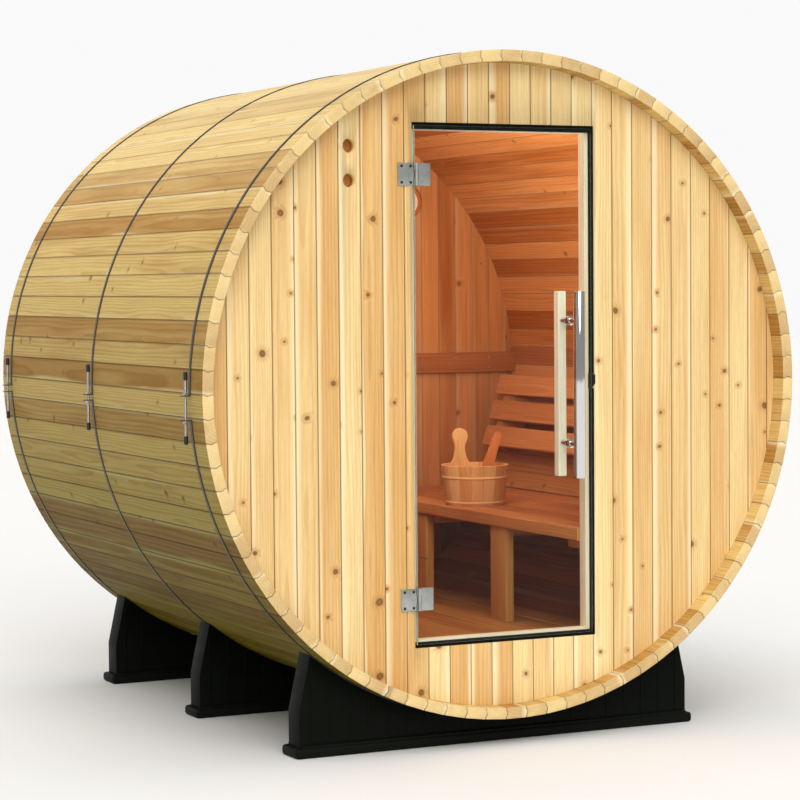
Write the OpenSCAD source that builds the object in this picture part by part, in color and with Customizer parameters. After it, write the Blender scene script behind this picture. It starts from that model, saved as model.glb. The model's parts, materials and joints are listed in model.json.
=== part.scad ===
// Barrel sauna: a stave barrel on three moulded cradles, with a glass door,
// a bench with its backrest, and a wooden bucket and ladle.
// Origin: bottom centre, on the ground under the middle of the barrel.
// Axes: X to the right, Y to the rear, Z up. Units: millimetres.

/* [Barrel] */
// Outer diameter of the barrel
barrel_d = 1829; // [1500:1:2300]
// Length of the staves, rim to rim
barrel_l = 1720; // [1400:1:2600]
// Thickness of a stave
stave_t = 32; // [25:1:45]
// Height of the barrel axis above the ground
axis_h = 988; // [970:1:1300]
// How far each end wall stands back from the rim
rim_depth = 50; // [35:1:120]
// Thickness of the end walls
wall_t = 35; // [25:1:45]
// Depth of the groove that holds an end wall
croze_d = 8; // [4:1:12]

/* [Door] */
// Width of the doorway in the front wall
doorway_w = 567; // [460:1:700]
// Height of the doorway in the front wall
doorway_h = 1424; // [1100:1:1480]
// Height of the doorway's lower edge above the ground
doorway_z = 280; // [262:1:340]
// Thickness of the door glass
glass_t = 8; // [6:1:12]
// Distance of the glass edge from the doorway's edge
glass_gap = 8; // [8:1:20]
// Width of the door frame behind the wall
frame_w = 45; // [30:1:70]
// Depth of the door frame behind the wall
frame_d = 20; // [12:1:45]
// How far the door frame reaches into the doorway
stop_w = 20; // [16:1:30]
// Length of the door pulls
pull_l = 519; // [300:1:700]
// Diameter of the outer door pull
pull_d = 33; // [20:1:40]
// Side of the square inner door pull
pull_bar = 26; // [18:1:40]
// Height of a hinge
hinge_h = 61; // [50:1:100]
// Width of a hinge on the wall, from its pin
hinge_wall_w = 55; // [40:1:70]
// Width of a hinge on the glass, from its pin
hinge_door_w = 43; // [30:1:60]

/* [Hoops] */
// Width of a hoop band
hoop_w = 12; // [10:1:40]
// Thickness of a hoop band
hoop_t = 2; // [1:0.5:4]
// Distance of the outer hoops from the rims
hoop_inset = 88; // [60:1:200]
// Length of a tension bolt
bolt_l = 186; // [140:1:240]

/* [Cradles] */
// Width of a cradle body
cradle_w = 1216; // [1000:1:1500]
// Thickness of a cradle body along the barrel
cradle_t = 74; // [50:1:120]
// Distance of the outer cradles from the barrel's middle
cradle_y = 725; // [500:1:760]

/* [Interior] */
// Height of the floor's top above the ground
floor_z = 257; // [230:1:320]
// Thickness of the floor boards
floor_t = 28; // [18:1:40]
// Height of the seat's top above the ground
seat_z = 578; // [480:1:700]
// Thickness of the seat boards
seat_t = 38; // [25:1:45]
// Distance of the bench's front edge from the barrel's middle
seat_x = 257; // [200:1:380]
// Width of a seat board
seat_board = 89; // [70:1:120]
// Width of a backrest slat
slat_w = 68; // [50:1:90]
// Gap between backrest slats
slat_gap = 22; // [10:1:40]
// Diameter of the bucket at its rim
bucket_d = 212; // [170:1:280]
// Height of the bucket at its rim
bucket_h = 126; // [100:1:200]

/* [Hidden] */
SHELL_GROUPS = 10;
HOOPS = ["front", "middle", "rear"];

// smoothness of large and small rounds
ROUND = 180;
SMALL = 48;
// clearance between curved faces that rest on each other
fit = 0.3;
// clearance of the moving door from everything fixed
swing_gap = 5;

barrel_r = barrel_d/2;
inner_r = barrel_r - stave_t;
croze_r = inner_r + croze_d;
rim_y = barrel_l/2;
wall_out = rim_y - rim_depth;
wall_in = wall_out - wall_t;

door_r = doorway_w/2;
door_top = doorway_z + doorway_h;
glass_r = door_r - glass_gap;
glass_front = -wall_out + 2;
glass_back = glass_front + glass_t;
seal_front = glass_front + 4;
seal_lip_y = glass_back + swing_gap + 1;
stop_y = seal_lip_y + 6;
seal_edge = glass_gap - swing_gap;
seal_lip_top = stop_w - 2;
seal_lip_bottom = stop_w - 6;

hinge_x = -door_r + 12;
hinge_y = glass_front - 7;
hinge_z = [doorway_z + 133, door_top - 141];
hinge_plate = 4;
knuckle_r = 6;
pin_r = 3;
pin_gap = 0.05;

pull_x = 206;
pull_z = axis_h - 2;
pull_off = 50;
pull_bolt_r = 6;
pull_bolts = [pull_z - 165, pull_z + 177];

hoop_y = [-rim_y + hoop_inset, 0, rim_y - hoop_inset];
hoop_gap = [62, 14, 18];
hoop_gap_z = axis_h - 38;
lug_l = 27;
bolt_x = -barrel_r - 12;
bolt_r = 4;

cradle_at = [-cradle_y, 0, cradle_y];

bearer_t = 28;
bearer_w = 115;
bench_front = -wall_in + frame_d + 3;
bench_rear = wall_in - fit;
leg_t = 28;
leg_w = 95;
leg_y = 264;
slat_t = 20;
slat_l = 1400;
slat_lean = 17;
slat_top = [797, axis_h - 31];
slats = 3;
bracket_t = 40;
bracket_y = 655;

// solid between two places along the barrel, drawn as x and height over its axis
module across(y0, y1) {
    translate([0, y1, axis_h]) rotate([90, 0, 0]) linear_extrude(y1 - y0) children();
}

// flat block from its low corner to its high corner
module block(low, high) {
    translate(low) cube(high - low);
}

// ---- barrel ----
module stave_profile() {
    polygon([[inner_r, -rim_y], [barrel_r, -rim_y], [barrel_r, rim_y], [inner_r, rim_y],
             [inner_r, wall_out + fit], [croze_r, wall_out + fit],
             [croze_r, wall_in - fit], [inner_r, wall_in - fit],
             [inner_r, -wall_in + fit], [croze_r, -wall_in + fit],
             [croze_r, -wall_out - fit], [inner_r, -wall_out - fit]]);
}

// one group of staves, counted round the barrel from its right side upwards
module staves(i) {
    step = 360/SHELL_GROUPS;
    color("burlywood")
    translate([0, 0, axis_h]) rotate([90, 0, 0])
        rotate_extrude(angle = step, start = (i - 1)*step, $fn = ROUND) stave_profile();
}

// ---- end walls ----
module wall_disc() {
    circle(croze_r - fit, $fn = ROUND);
}

// part of the front wall between two limits of x and height
module front_wall_part(x0, x1, z0, z1) {
    color("wheat")
    across(-wall_out, -wall_in) intersection() {
        wall_disc();
        translate([x0, z0 - axis_h]) square([x1 - x0, z1 - z0]);
    }
}

vent_r = 19;
vent_x = -469;
vent_z = [axis_h + 557, axis_h + 649];

module front_wall_left() {
    difference() {
        front_wall_part(-barrel_r, -door_r, 0, axis_h + barrel_r);
        for (z = vent_z)
            translate([vent_x, -wall_in + 1, z]) rotate([90, 0, 0])
                cylinder(r = vent_r, h = wall_t + 2, $fn = SMALL);
    }
}

module front_wall_right() {
    front_wall_part(door_r, barrel_r, 0, axis_h + barrel_r);
}

module front_wall_over_door() {
    front_wall_part(-door_r, door_r, door_top, axis_h + barrel_r);
}

module front_wall_under_door() {
    front_wall_part(-door_r, door_r, 0, doorway_z);
}

module rear_wall() {
    color("wheat") across(wall_in, wall_out) wall_disc();
}

batten_h = 68;
batten_t = 28;
batten_z = axis_h + 10;

module rear_wall_batten() {
    color("peru")
    across(wall_in - batten_t, wall_in) intersection() {
        circle(inner_r - fit, $fn = ROUND);
        translate([-barrel_r, batten_z - axis_h - batten_h/2]) square([barrel_d, batten_h]);
    }
}

module vent_cover() {
    margin = 30;
    thick = 18;
    color("peru")
    block([vent_x - 45, -wall_in, vent_z[0] - vent_r - margin],
          [vent_x + 45, -wall_in + thick, vent_z[1] + vent_r + margin]);
}

// ---- door frame ----
// upright on one side of the doorway: side is -1 or 1
module door_jamb(side) {
    inner = door_r - stop_w;
    outer = door_r - stop_w + frame_w;
    color("burlywood") {
        low = side < 0 ? -door_r : inner;
        block([low, stop_y, doorway_z], [low + stop_w, -wall_in, door_top]);
        post = side < 0 ? -outer : inner;
        block([post, -wall_in, floor_z],
              [post + frame_w, -wall_in + frame_d, door_top - stop_w + frame_w]);
    }
}

// rail across the doorway: edge is its height on the doorway, side -1 below or 1 above
module door_rail(edge, side) {
    inner = door_r - stop_w;
    color("burlywood") {
        low = side < 0 ? edge : edge - stop_w;
        block([-inner, stop_y, low], [inner, -wall_in, low + stop_w]);
        rail_low = side < 0 ? floor_z : edge - stop_w;
        rail_high = side < 0 ? edge + stop_w : edge - stop_w + frame_w;
        block([-inner, -wall_in, rail_low], [inner, -wall_in + frame_d, rail_high]);
    }
}

// rectangle inside the doorway, drawn in by its margins at the sides, bottom and top
module doorway_less(side, bottom, top) {
    translate([-door_r + side, doorway_z - axis_h + bottom])
        square([doorway_w - 2*side, doorway_h - bottom - top]);
}

catch_h = 42;
catch_z = axis_h + 6;
catch_lip = glass_gap + 2;

// strip round the doorway's edge, with a lip behind the glass
module door_seal() {
    color([0.06, 0.07, 0.06])
    difference() {
        union() {
            across(seal_front, seal_lip_y) difference() {
                doorway_less(0, 0, 0);
                doorway_less(seal_edge, seal_edge, seal_edge);
            }
            across(seal_lip_y, stop_y) difference() {
                doorway_less(0, 0, 0);
                doorway_less(glass_gap, seal_lip_bottom, seal_lip_top);
            }
        }
        block([door_r - catch_lip, glass_front, catch_z - catch_h/2],
              [door_r + 1, stop_y + 1, catch_z + catch_h/2]);
    }
}

module door_catch() {
    low = catch_z - catch_h/2;
    high = catch_z + catch_h/2;
    color("black") {
        block([door_r - seal_edge, glass_front - 4, low], [door_r, seal_lip_y, high]);
        block([door_r - catch_lip, seal_lip_y, low], [door_r, stop_y, high]);
    }
}

// ---- door leaf ----
module door_glass() {
    color([0.6, 0.8, 0.75, 0.4])
    difference() {
        across(glass_front, glass_back) doorway_less(glass_gap, glass_gap, glass_gap);
        for (z = pull_bolts)
            translate([pull_x, glass_back + 1, z]) rotate([90, 0, 0])
                cylinder(r = pull_bolt_r + fit, h = glass_t + 2, $fn = SMALL);
    }
}

module door_pull_outer() {
    tube_y = glass_front - pull_off;
    color("silver") {
        translate([pull_x, tube_y, pull_z - pull_l/2])
            cylinder(d = pull_d, h = pull_l, $fn = SMALL);
        for (z = pull_bolts) {
            translate([pull_x, glass_front, z]) rotate([90, 0, 0])
                cylinder(r = 9, h = pull_off - 4, $fn = SMALL);
            translate([pull_x, glass_back + 1, z]) rotate([90, 0, 0])
                cylinder(r = pull_bolt_r, h = glass_t + 2, $fn = SMALL);
            translate([pull_x, glass_back + pull_off - pull_bar/2, z]) rotate([90, 0, 0])
                cylinder(r = 9, h = pull_off - pull_bar/2, $fn = SMALL);
        }
    }
}

module door_pull_inner() {
    bar_y = glass_back + pull_off;
    color("wheat")
    block([pull_x - pull_bar/2, bar_y - pull_bar/2, pull_z - pull_l/2],
          [pull_x + pull_bar/2, bar_y + pull_bar/2, pull_z + pull_l/2]);
}

// ---- hinges ----
knuckle_h = hinge_h/3;
knuckle_gap = 0.3;
plate_gap = 1;
tab_t = 2;

// knuckle on the hinge axis from one height to another
module knuckle(low, high) {
    translate([hinge_x, hinge_y, low]) cylinder(r = knuckle_r, h = high - low, $fn = SMALL);
}

// wall plate with the two outer knuckles and the pin, centred on a height
module hinge_wall_leaf(z) {
    ends = hinge_h/2;
    inner = knuckle_h/2 + knuckle_gap;
    plate_front = -wall_out - hinge_plate;
    color("gainsboro") {
        block([hinge_x - hinge_wall_w, plate_front, z - ends],
              [hinge_x - knuckle_r - plate_gap, -wall_out, z + ends]);
        for (span = [[z - ends, z - inner], [z + inner, z + ends]]) {
            knuckle(span[0], span[1]);
            block([hinge_x - knuckle_r - plate_gap - 1, plate_front, span[0]],
                  [hinge_x, plate_front + tab_t, span[1]]);
        }
        translate([hinge_x, hinge_y, z - ends]) cylinder(r = pin_r, h = hinge_h, $fn = SMALL);
    }
}

// clamp plates on both faces of the glass, with the middle knuckle round the pin
module hinge_door_leaf(z) {
    ends = hinge_h/2;
    inner = knuckle_h/2 - knuckle_gap;
    plate_x = hinge_x + knuckle_r + plate_gap;
    plate_front = glass_front - hinge_plate;
    color("gainsboro") {
        block([plate_x, plate_front, z - ends], [hinge_x + hinge_door_w, glass_front, z + ends]);
        block([-glass_r + 6, glass_back, z - ends],
              [hinge_x + hinge_door_w, glass_back + hinge_plate - 1, z + ends]);
        difference() {
            union() {
                knuckle(z - inner, z + inner);
                block([hinge_x, plate_front, z - inner],
                      [plate_x + 1, plate_front + tab_t, z + inner]);
            }
            translate([hinge_x, hinge_y, z - knuckle_h])
                cylinder(r = pin_r + pin_gap, h = 2*knuckle_h, $fn = SMALL);
        }
    }
}

// ---- hoops ----
// band with two lugs bent outwards, on the left side of the barrel
module hoop(i) {
    gap = hoop_gap[i];
    low = hoop_gap_z - gap/2;
    high = hoop_gap_z + gap/2;
    band_in = barrel_r + fit;
    a_high = 180 - asin((high - axis_h)/band_in);
    a_low = 180 - asin((low - axis_h)/band_in) - 360;
    y = hoop_y[i];
    color([0.25, 0.27, 0.27]) {
        translate([0, y, axis_h]) rotate([90, 0, 0])
            rotate_extrude(angle = a_high - a_low, start = a_low, $fn = ROUND)
                translate([band_in, -hoop_w/2]) square([hoop_t, hoop_w]);
        for (edge = [low - hoop_t, high]) {
            root_x = -sqrt(pow(band_in, 2) - pow(edge - axis_h, 2));
            difference() {
                block([-band_in - lug_l, y - hoop_w/2, edge],
                      [root_x - hoop_t/2, y + hoop_w/2, edge + hoop_t]);
                translate([bolt_x, y, edge - 1])
                    cylinder(r = bolt_r + fit, h = hoop_t + 2, $fn = SMALL);
            }
        }
    }
}

// threaded bolt with two nuts and an end cap at each end
module hoop_bolt(i) {
    nut_h = 7;
    cap_h = 16;
    high = hoop_gap_z + hoop_gap[i]/2 + hoop_t;
    low = hoop_gap_z - hoop_gap[i]/2 - hoop_t;
    color("silver")
    translate([bolt_x, hoop_y[i], 0]) {
        translate([0, 0, hoop_gap_z - bolt_l/2]) cylinder(r = bolt_r, h = bolt_l, $fn = SMALL);
        translate([0, 0, high]) cylinder(r = 7.5, h = nut_h, $fn = 6);
        translate([0, 0, low - nut_h]) cylinder(r = 7.5, h = nut_h, $fn = 6);
        for (z = [hoop_gap_z - bolt_l/2 - 2, hoop_gap_z + bolt_l/2 + 2 - cap_h])
            translate([0, 0, z]) cylinder(r = bolt_r + 2, h = cap_h, $fn = SMALL);
    }
}

// ---- cradles ----
foot_h = 28;
foot_out = 16;

module cradle(i) {
    half = cradle_w/2;
    shoulder_z = 125;
    top_z = 281;
    top_in = 34;
    y = cradle_at[i];
    saddle_r = barrel_r + fit;
    color([0.07, 0.08, 0.07])
    difference() {
        union() {
            translate([0, y + cradle_t/2, 0]) rotate([90, 0, 0]) linear_extrude(cradle_t)
                polygon([[-half, 0], [half, 0], [half, shoulder_z], [half - top_in, top_z],
                         [-half + top_in, top_z], [-half, shoulder_z]]);
            translate([-half - foot_out + foot_h/2, y, foot_h/2])
                cube_with_round_rim(2*half + 2*foot_out - foot_h, cradle_t + 2*foot_out);
        }
        translate([0, y + cradle_t, axis_h]) rotate([90, 0, 0])
            cylinder(r = saddle_r, h = 2*cradle_t, $fn = ROUND);
        if (abs(y - hoop_y[i]) < (cradle_t + hoop_w)/2 + 2)
            translate([0, hoop_y[i] + hoop_w/2 + 2, axis_h]) rotate([90, 0, 0])
                cylinder(r = saddle_r + hoop_t + 2*fit, h = hoop_w + 4, $fn = ROUND);
    }
}

// flat foot with half-round edges on all sides, starting at x = 0 and centred on y
module cube_with_round_rim(l, w) {
    r = foot_h/2;
    inner_w = w - 2*r;
    translate([0, -inner_w/2, -r]) cube([l, inner_w, foot_h]);
    for (y = [-inner_w/2, inner_w/2])
        translate([0, y, 0]) rotate([0, 90, 0]) cylinder(r = r, h = l, $fn = SMALL);
    for (x = [0, l]) {
        translate([x, inner_w/2, 0]) rotate([90, 0, 0])
            cylinder(r = r, h = inner_w, $fn = SMALL);
        for (y = [-inner_w/2, inner_w/2]) translate([x, y, 0]) sphere(r = r, $fn = SMALL);
    }
}

// ---- interior ----
floor_board = 90;
floor_gap = 4;

module floor_boards() {
    pitch = floor_board + floor_gap;
    reach = sqrt(pow(inner_r, 2) - pow(axis_h - floor_z, 2));
    count = ceil(reach/pitch);
    bearer_y = wall_in - 200;
    color("sienna") {
        across(-wall_in + fit, wall_in - fit) intersection() {
            circle(inner_r - fit, $fn = ROUND);
            for (i = [-count:count - 1])
                translate([i*pitch + floor_gap/2, floor_z - floor_t - axis_h])
                    square([floor_board, floor_t]);
        }
        for (y = [-bearer_y, 0, bearer_y])
            across(y - 19, y + 19) intersection() {
                circle(inner_r - fit, $fn = ROUND);
                translate([-barrel_r, -barrel_r])
                    square([barrel_d, floor_z - floor_t - axis_h + barrel_r]);
            }
    }
}

seat_gap = 7;

module bench_seat() {
    pitch = seat_board + seat_gap;
    reach = sqrt(pow(inner_r, 2) - pow(axis_h - seat_z, 2));
    count = ceil((reach - seat_x)/pitch);
    color("sienna")
    across(bench_front, bench_rear) intersection() {
        circle(inner_r - fit, $fn = ROUND);
        for (i = [0:count - 1])
            translate([seat_x + i*pitch, seat_z - seat_t - axis_h])
                square([seat_board, seat_t]);
    }
}

// flat boards under the seat: at each end wall and beside each leg
module bench_bearers() {
    color("sienna")
    for (y = [bench_front, -leg_y + leg_w/2 - 80, leg_y - leg_w/2 + 80 - bearer_w,
              bench_rear - bearer_w])
        across(y, y + bearer_w) intersection() {
            circle(inner_r - fit, $fn = ROUND);
            translate([seat_x + 8 + leg_t, seat_z - seat_t - bearer_t - axis_h])
                square([barrel_r, bearer_t]);
        }
}

module bench_legs() {
    color("peru")
    for (y = [-leg_y, leg_y])
        block([seat_x + 8, y - leg_w/2, floor_z],
              [seat_x + 8 + leg_t, y + leg_w/2, seat_z - seat_t]);
}

// place of the backrest: its top front edge, leaning back
module on_backrest() {
    translate([slat_top[0], 0, slat_top[1]]) rotate([0, slat_lean, 0]) children();
}

module backrest_slats() {
    color("peru")
    on_backrest() for (i = [0:slats - 1])
        translate([0, -slat_l/2, -slat_w - i*(slat_w + slat_gap)])
            cube([slat_t, slat_l, slat_w]);
}

module backrest_brackets() {
    drop = slats*slat_w + (slats - 1)*slat_gap;
    color("peru")
    for (y = [-bracket_y, bracket_y])
        across(y - bracket_t/2, y + bracket_t/2) intersection() {
            circle(inner_r - fit, $fn = ROUND);
            translate([slat_top[0], slat_top[1] - axis_h]) rotate(-slat_lean)
                translate([slat_t, -drop]) square([200, drop]);
        }
}

// ---- bucket and ladle ----
bucket_at = [357, 56];
bucket_wall = 12;
bucket_floor = 18;
bucket_foot_d = bucket_d - 31;
ear_turn = 91;
ear_t = 10;

module bucket() {
    top_r = bucket_d/2;
    foot_r = bucket_foot_d/2;
    color("burlywood")
    translate([bucket_at[0], bucket_at[1], seat_z]) {
        rotate_extrude($fn = ROUND)
            polygon([[0, 0], [foot_r, 0], [top_r, bucket_h], [top_r - bucket_wall, bucket_h],
                     [foot_r - bucket_wall + 2, bucket_floor], [0, bucket_floor]]);
        rotate(ear_turn) translate([top_r - ear_t - 1, 0, bucket_h]) rotate([90, 0, 90])
            linear_extrude(ear_t) bucket_ear();
    }
}

// handle that rises over the rim: a round head on a waist that flares to the rim
module bucket_ear() {
    base = 32;
    waist = 17;
    waist_z = 48;
    head_r = 27;
    head_z = 82;
    polygon([[-base, -20], [base, -20], [base, 0], [waist + 4, 22], [waist, waist_z],
             [head_r*0.94, head_z - head_r*0.34], [-head_r*0.94, head_z - head_r*0.34],
             [-waist, waist_z], [-waist - 4, 22], [-base, 0]]);
    translate([0, head_z]) circle(head_r, $fn = SMALL);
}

ladle_turn = -26;
ladle_lean = 17.7;
ladle_r = 28;
ladle_l = 214;

// small cup on the bucket's floor with a flat handle that leans out over the rim
module ladle() {
    cup_h = 34;
    low = 44;
    high = 25;
    handle_t = 12;
    color("saddlebrown")
    translate([bucket_at[0], bucket_at[1], seat_z + bucket_floor + fit])
        rotate(ladle_turn) {
            difference() {
                translate([-22, 0, 0]) cylinder(r = ladle_r, h = cup_h, $fn = SMALL);
                translate([-22, 0, 6]) cylinder(r = ladle_r - 5, h = cup_h, $fn = SMALL);
            }
            translate([10, handle_t/2, 4]) rotate([90, -90 + ladle_lean, 0])
                mirror([0, 1, 0]) linear_extrude(handle_t) {
                    polygon([[0, -low/2 + 14], [30, -low/2], [ladle_l - high/2, -high/2],
                             [ladle_l - high/2, high/2], [30, low/2], [0, low/2 - 14]]);
                    translate([ladle_l - high/2, 0]) circle(high/2, $fn = SMALL);
                }
        }
}

thermo_r = 60;

module thermometer() {
    color("saddlebrown")
    translate([469, wall_in, axis_h + 556]) rotate([90, 0, 0])
        cylinder(r = thermo_r, h = 22, $fn = SMALL);
}

// ---- assembly ----
for (i = [1:SHELL_GROUPS])
    staves(i);
front_wall_left();
front_wall_right();
front_wall_over_door();
front_wall_under_door();
rear_wall();
rear_wall_batten();
door_jamb(-1);  // door_jamb_left
door_jamb(1);  // door_jamb_right
door_rail(door_top, 1);  // door_head
door_rail(doorway_z, -1);  // door_sill
door_seal();
door_catch();
door_glass();
door_pull_outer();
door_pull_inner();
hinge_wall_leaf(hinge_z[1]);  // hinge_upper_wall_leaf
hinge_wall_leaf(hinge_z[0]);  // hinge_lower_wall_leaf
hinge_door_leaf(hinge_z[1]);  // hinge_upper_door_leaf
hinge_door_leaf(hinge_z[0]);  // hinge_lower_door_leaf
vent_cover();
for (i = [0:2]) {
    hoop(i);
    hoop_bolt(i);
    cradle(i);
}
floor_boards();
bench_seat();
bench_bearers();
bench_legs();
backrest_slats();
backrest_brackets();
bucket();
ladle();
thermometer();
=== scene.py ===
"""Barrel sauna: staves, boards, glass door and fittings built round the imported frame."""
import json
import math
import random

import bmesh
import bpy
from bpy.props import (
    FloatProperty, FloatVectorProperty, IntProperty, PointerProperty)
from mathutils import Matrix, Vector


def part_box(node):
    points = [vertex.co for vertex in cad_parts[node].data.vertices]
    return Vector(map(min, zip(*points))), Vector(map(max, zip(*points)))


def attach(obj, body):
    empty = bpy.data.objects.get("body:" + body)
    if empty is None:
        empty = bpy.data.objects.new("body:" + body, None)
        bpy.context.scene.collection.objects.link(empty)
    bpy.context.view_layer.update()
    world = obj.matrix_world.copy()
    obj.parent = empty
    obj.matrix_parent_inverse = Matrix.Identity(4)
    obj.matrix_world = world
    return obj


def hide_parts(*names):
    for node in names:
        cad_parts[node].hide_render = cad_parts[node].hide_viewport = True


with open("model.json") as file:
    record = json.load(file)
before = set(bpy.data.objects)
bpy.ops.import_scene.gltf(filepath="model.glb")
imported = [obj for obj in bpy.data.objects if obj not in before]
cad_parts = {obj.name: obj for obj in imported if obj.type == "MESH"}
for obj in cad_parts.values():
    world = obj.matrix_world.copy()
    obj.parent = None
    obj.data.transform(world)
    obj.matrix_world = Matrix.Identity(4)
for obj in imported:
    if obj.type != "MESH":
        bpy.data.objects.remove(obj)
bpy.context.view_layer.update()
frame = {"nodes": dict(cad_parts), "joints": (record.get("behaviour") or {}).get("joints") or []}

bl_info = {
    "name": "Barrel Sauna",
    "version": (1, 0, 0),
    "blender": (4, 5, 0),
    "location": "View3D > Sidebar > Sauna",
    "description": "Builds the boards, glass and fittings of a barrel sauna",
    "category": "Object",
}

# ---------------------------------------------------------------- places

STAVE_NODES = ["staves_%d" % i for i in range(1, 11)]
FRONT_WALL_NODES = ["front_wall_left", "front_wall_right",
                    "front_wall_over_door", "front_wall_under_door"]
HOOPS = ("front", "middle", "rear")

SHELL_LOW = min(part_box(node)[0].z for node in STAVE_NODES)
SHELL_TOP = max(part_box(node)[1].z for node in STAVE_NODES)
AXIS_Z = (SHELL_LOW + SHELL_TOP) / 2
BARREL_R = (SHELL_TOP - SHELL_LOW) / 2
RIM_Y = max(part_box(node)[1].y for node in STAVE_NODES)
WALL_OUT = -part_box("front_wall_left")[0].y
WALL_IN = -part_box("front_wall_left")[1].y
DOOR_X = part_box("front_wall_over_door")[1].x
DOOR_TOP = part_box("front_wall_over_door")[0].z
DOOR_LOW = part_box("front_wall_under_door")[1].z
FLOOR_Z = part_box("floor_boards")[1].z
HINGE = frame["joints"][0]["pos_m"]
ROOM = 0.0003       # left between a board's end and the inside of the barrel
FINISHES = {}


# ---------------------------------------------------------------- settings


def length(text, value, about):
    """A size in metres that a user may change."""
    return FloatProperty(name=text, default=value, min=0.0, unit="LENGTH",
                         precision=4, description=about)


def colour(text, value, about):
    """A linear colour that a user may change."""
    return FloatVectorProperty(name=text, default=value, size=3, min=0.0, max=1.0,
                               subtype="COLOR", description=about)


class SaunaSizes(bpy.types.PropertyGroup):
    """Sizes of the boards and fittings."""
    stave_count: IntProperty(name="Staves", default=90, min=12,
                             description="Number of staves round the barrel")
    stave_thick: length("Stave thickness", 0.032, "Thickness of a stave")
    joint: length("Joint", 0.0009, "Open width of a joint between boards")
    chamfer: length("Chamfer", 0.0015, "Chamfer on the long edges of a board")
    wall_pitch: length("Wall board", 0.0648, "Width of a wall board with its joint")
    wall_joint: FloatProperty(name="Wall joint place", default=-0.048, unit="LENGTH",
                              description="Place across the wall of one joint")
    vent_r: length("Vent radius", 0.019, "Radius of a vent hole")
    floor_pitch: length("Floor board", 0.094, "Width of a floor board with its gap")
    floor_gap: length("Floor gap", 0.004, "Gap between floor boards")
    seat_pitch: length("Seat board", 0.096, "Width of a seat board with its gap")
    seat_gap: length("Seat gap", 0.007, "Gap between seat boards")
    thread_pitch: length("Thread pitch", 0.0016, "Pitch of the tension bolts' thread")


class SaunaColours(bpy.types.PropertyGroup):
    """Colours of the woods and finishes."""
    stave_pale: colour("Stave, pale", (0.80, 0.59, 0.235), "Pale staves")
    stave_deep: colour("Stave, deep", (0.50, 0.275, 0.070), "Deep staves")
    wall_pale: colour("Wall, pale", (0.88, 0.69, 0.345), "Pale wall boards")
    wall_deep: colour("Wall, deep", (0.71, 0.41, 0.145), "Deep wall boards")
    cabin_pale: colour("Cabin, pale", (0.62, 0.255, 0.082), "Pale boards of the cabin")
    cabin_deep: colour("Cabin, deep", (0.37, 0.110, 0.022), "Deep boards of the cabin")
    frame_pale: colour("Frame", (1.0, 0.94, 0.76), "Wood of the door frame")
    pail_pale: colour("Bucket", (0.78, 0.42, 0.17), "Wood of the bucket")
    ladle_deep: colour("Ladle", (0.50, 0.13, 0.03), "Wood of the ladle")
    sapwood: colour("Sapwood", (0.94, 0.82, 0.52), "Pale edges of the boards")
    knot: colour("Knots", (0.20, 0.095, 0.030), "Knots in the boards")
    plastic: colour("Plastic", (0.0028, 0.0040, 0.0026), "Moulded cradles")
    hoop: colour("Hoops", (0.030, 0.034, 0.030), "Painted steel bands")


def sizes():
    return bpy.context.scene.sauna_sizes


def colours():
    return bpy.context.scene.sauna_colours


def inner_radius():
    """How far the boards inside the barrel reach from its axis."""
    return BARREL_R - sizes().stave_thick - ROOM


# ---------------------------------------------------------------- node trees


class Socket:
    """An output of a node that works in sums."""

    def __init__(self, tree, out):
        self.tree = tree
        self.out = out

    def math(self, operation, *values):
        return self.tree.node("ShaderNodeMath", {"operation": operation}, dict(enumerate(values)))

    def __add__(self, other):
        return self.math("ADD", self, other)

    def __radd__(self, other):
        return self.math("ADD", other, self)

    def __sub__(self, other):
        return self.math("SUBTRACT", self, other)

    def __rsub__(self, other):
        return self.math("SUBTRACT", other, self)

    def __mul__(self, other):
        return self.math("MULTIPLY", self, other)

    def __rmul__(self, other):
        return self.math("MULTIPLY", other, self)

    def __truediv__(self, other):
        return self.math("DIVIDE", self, other)

    def __rtruediv__(self, other):
        return self.math("DIVIDE", other, self)

    def __neg__(self):
        return self.math("MULTIPLY", self, -1.0)

    def __abs__(self):
        return self.math("ABSOLUTE", self)

    def __gt__(self, other):
        return self.math("GREATER_THAN", self, other)

    def __lt__(self, other):
        return self.math("LESS_THAN", self, other)

    def root(self):
        return self.math("SQRT", self)

    def fraction(self):
        return self.math("FRACT", self)

    def floor(self):
        return self.math("FLOOR", self)

    def least(self, other):
        return self.math("MINIMUM", self, other)

    def most(self, other):
        return self.math("MAXIMUM", self, other)

    def rise(self, low, high):
        """0 below low, 1 above high and a smooth rise between them."""
        return self.tree.node("ShaderNodeMapRange", {"interpolation_type": "SMOOTHSTEP"},
                              {"Value": self, "From Min": low, "From Max": high})

    def xyz(self):
        """The three parts of a vector."""
        parts = self.tree.node("ShaderNodeSeparateXYZ", {}, {0: self}).out.node.outputs
        return [Socket(self.tree, part) for part in parts]


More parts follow.
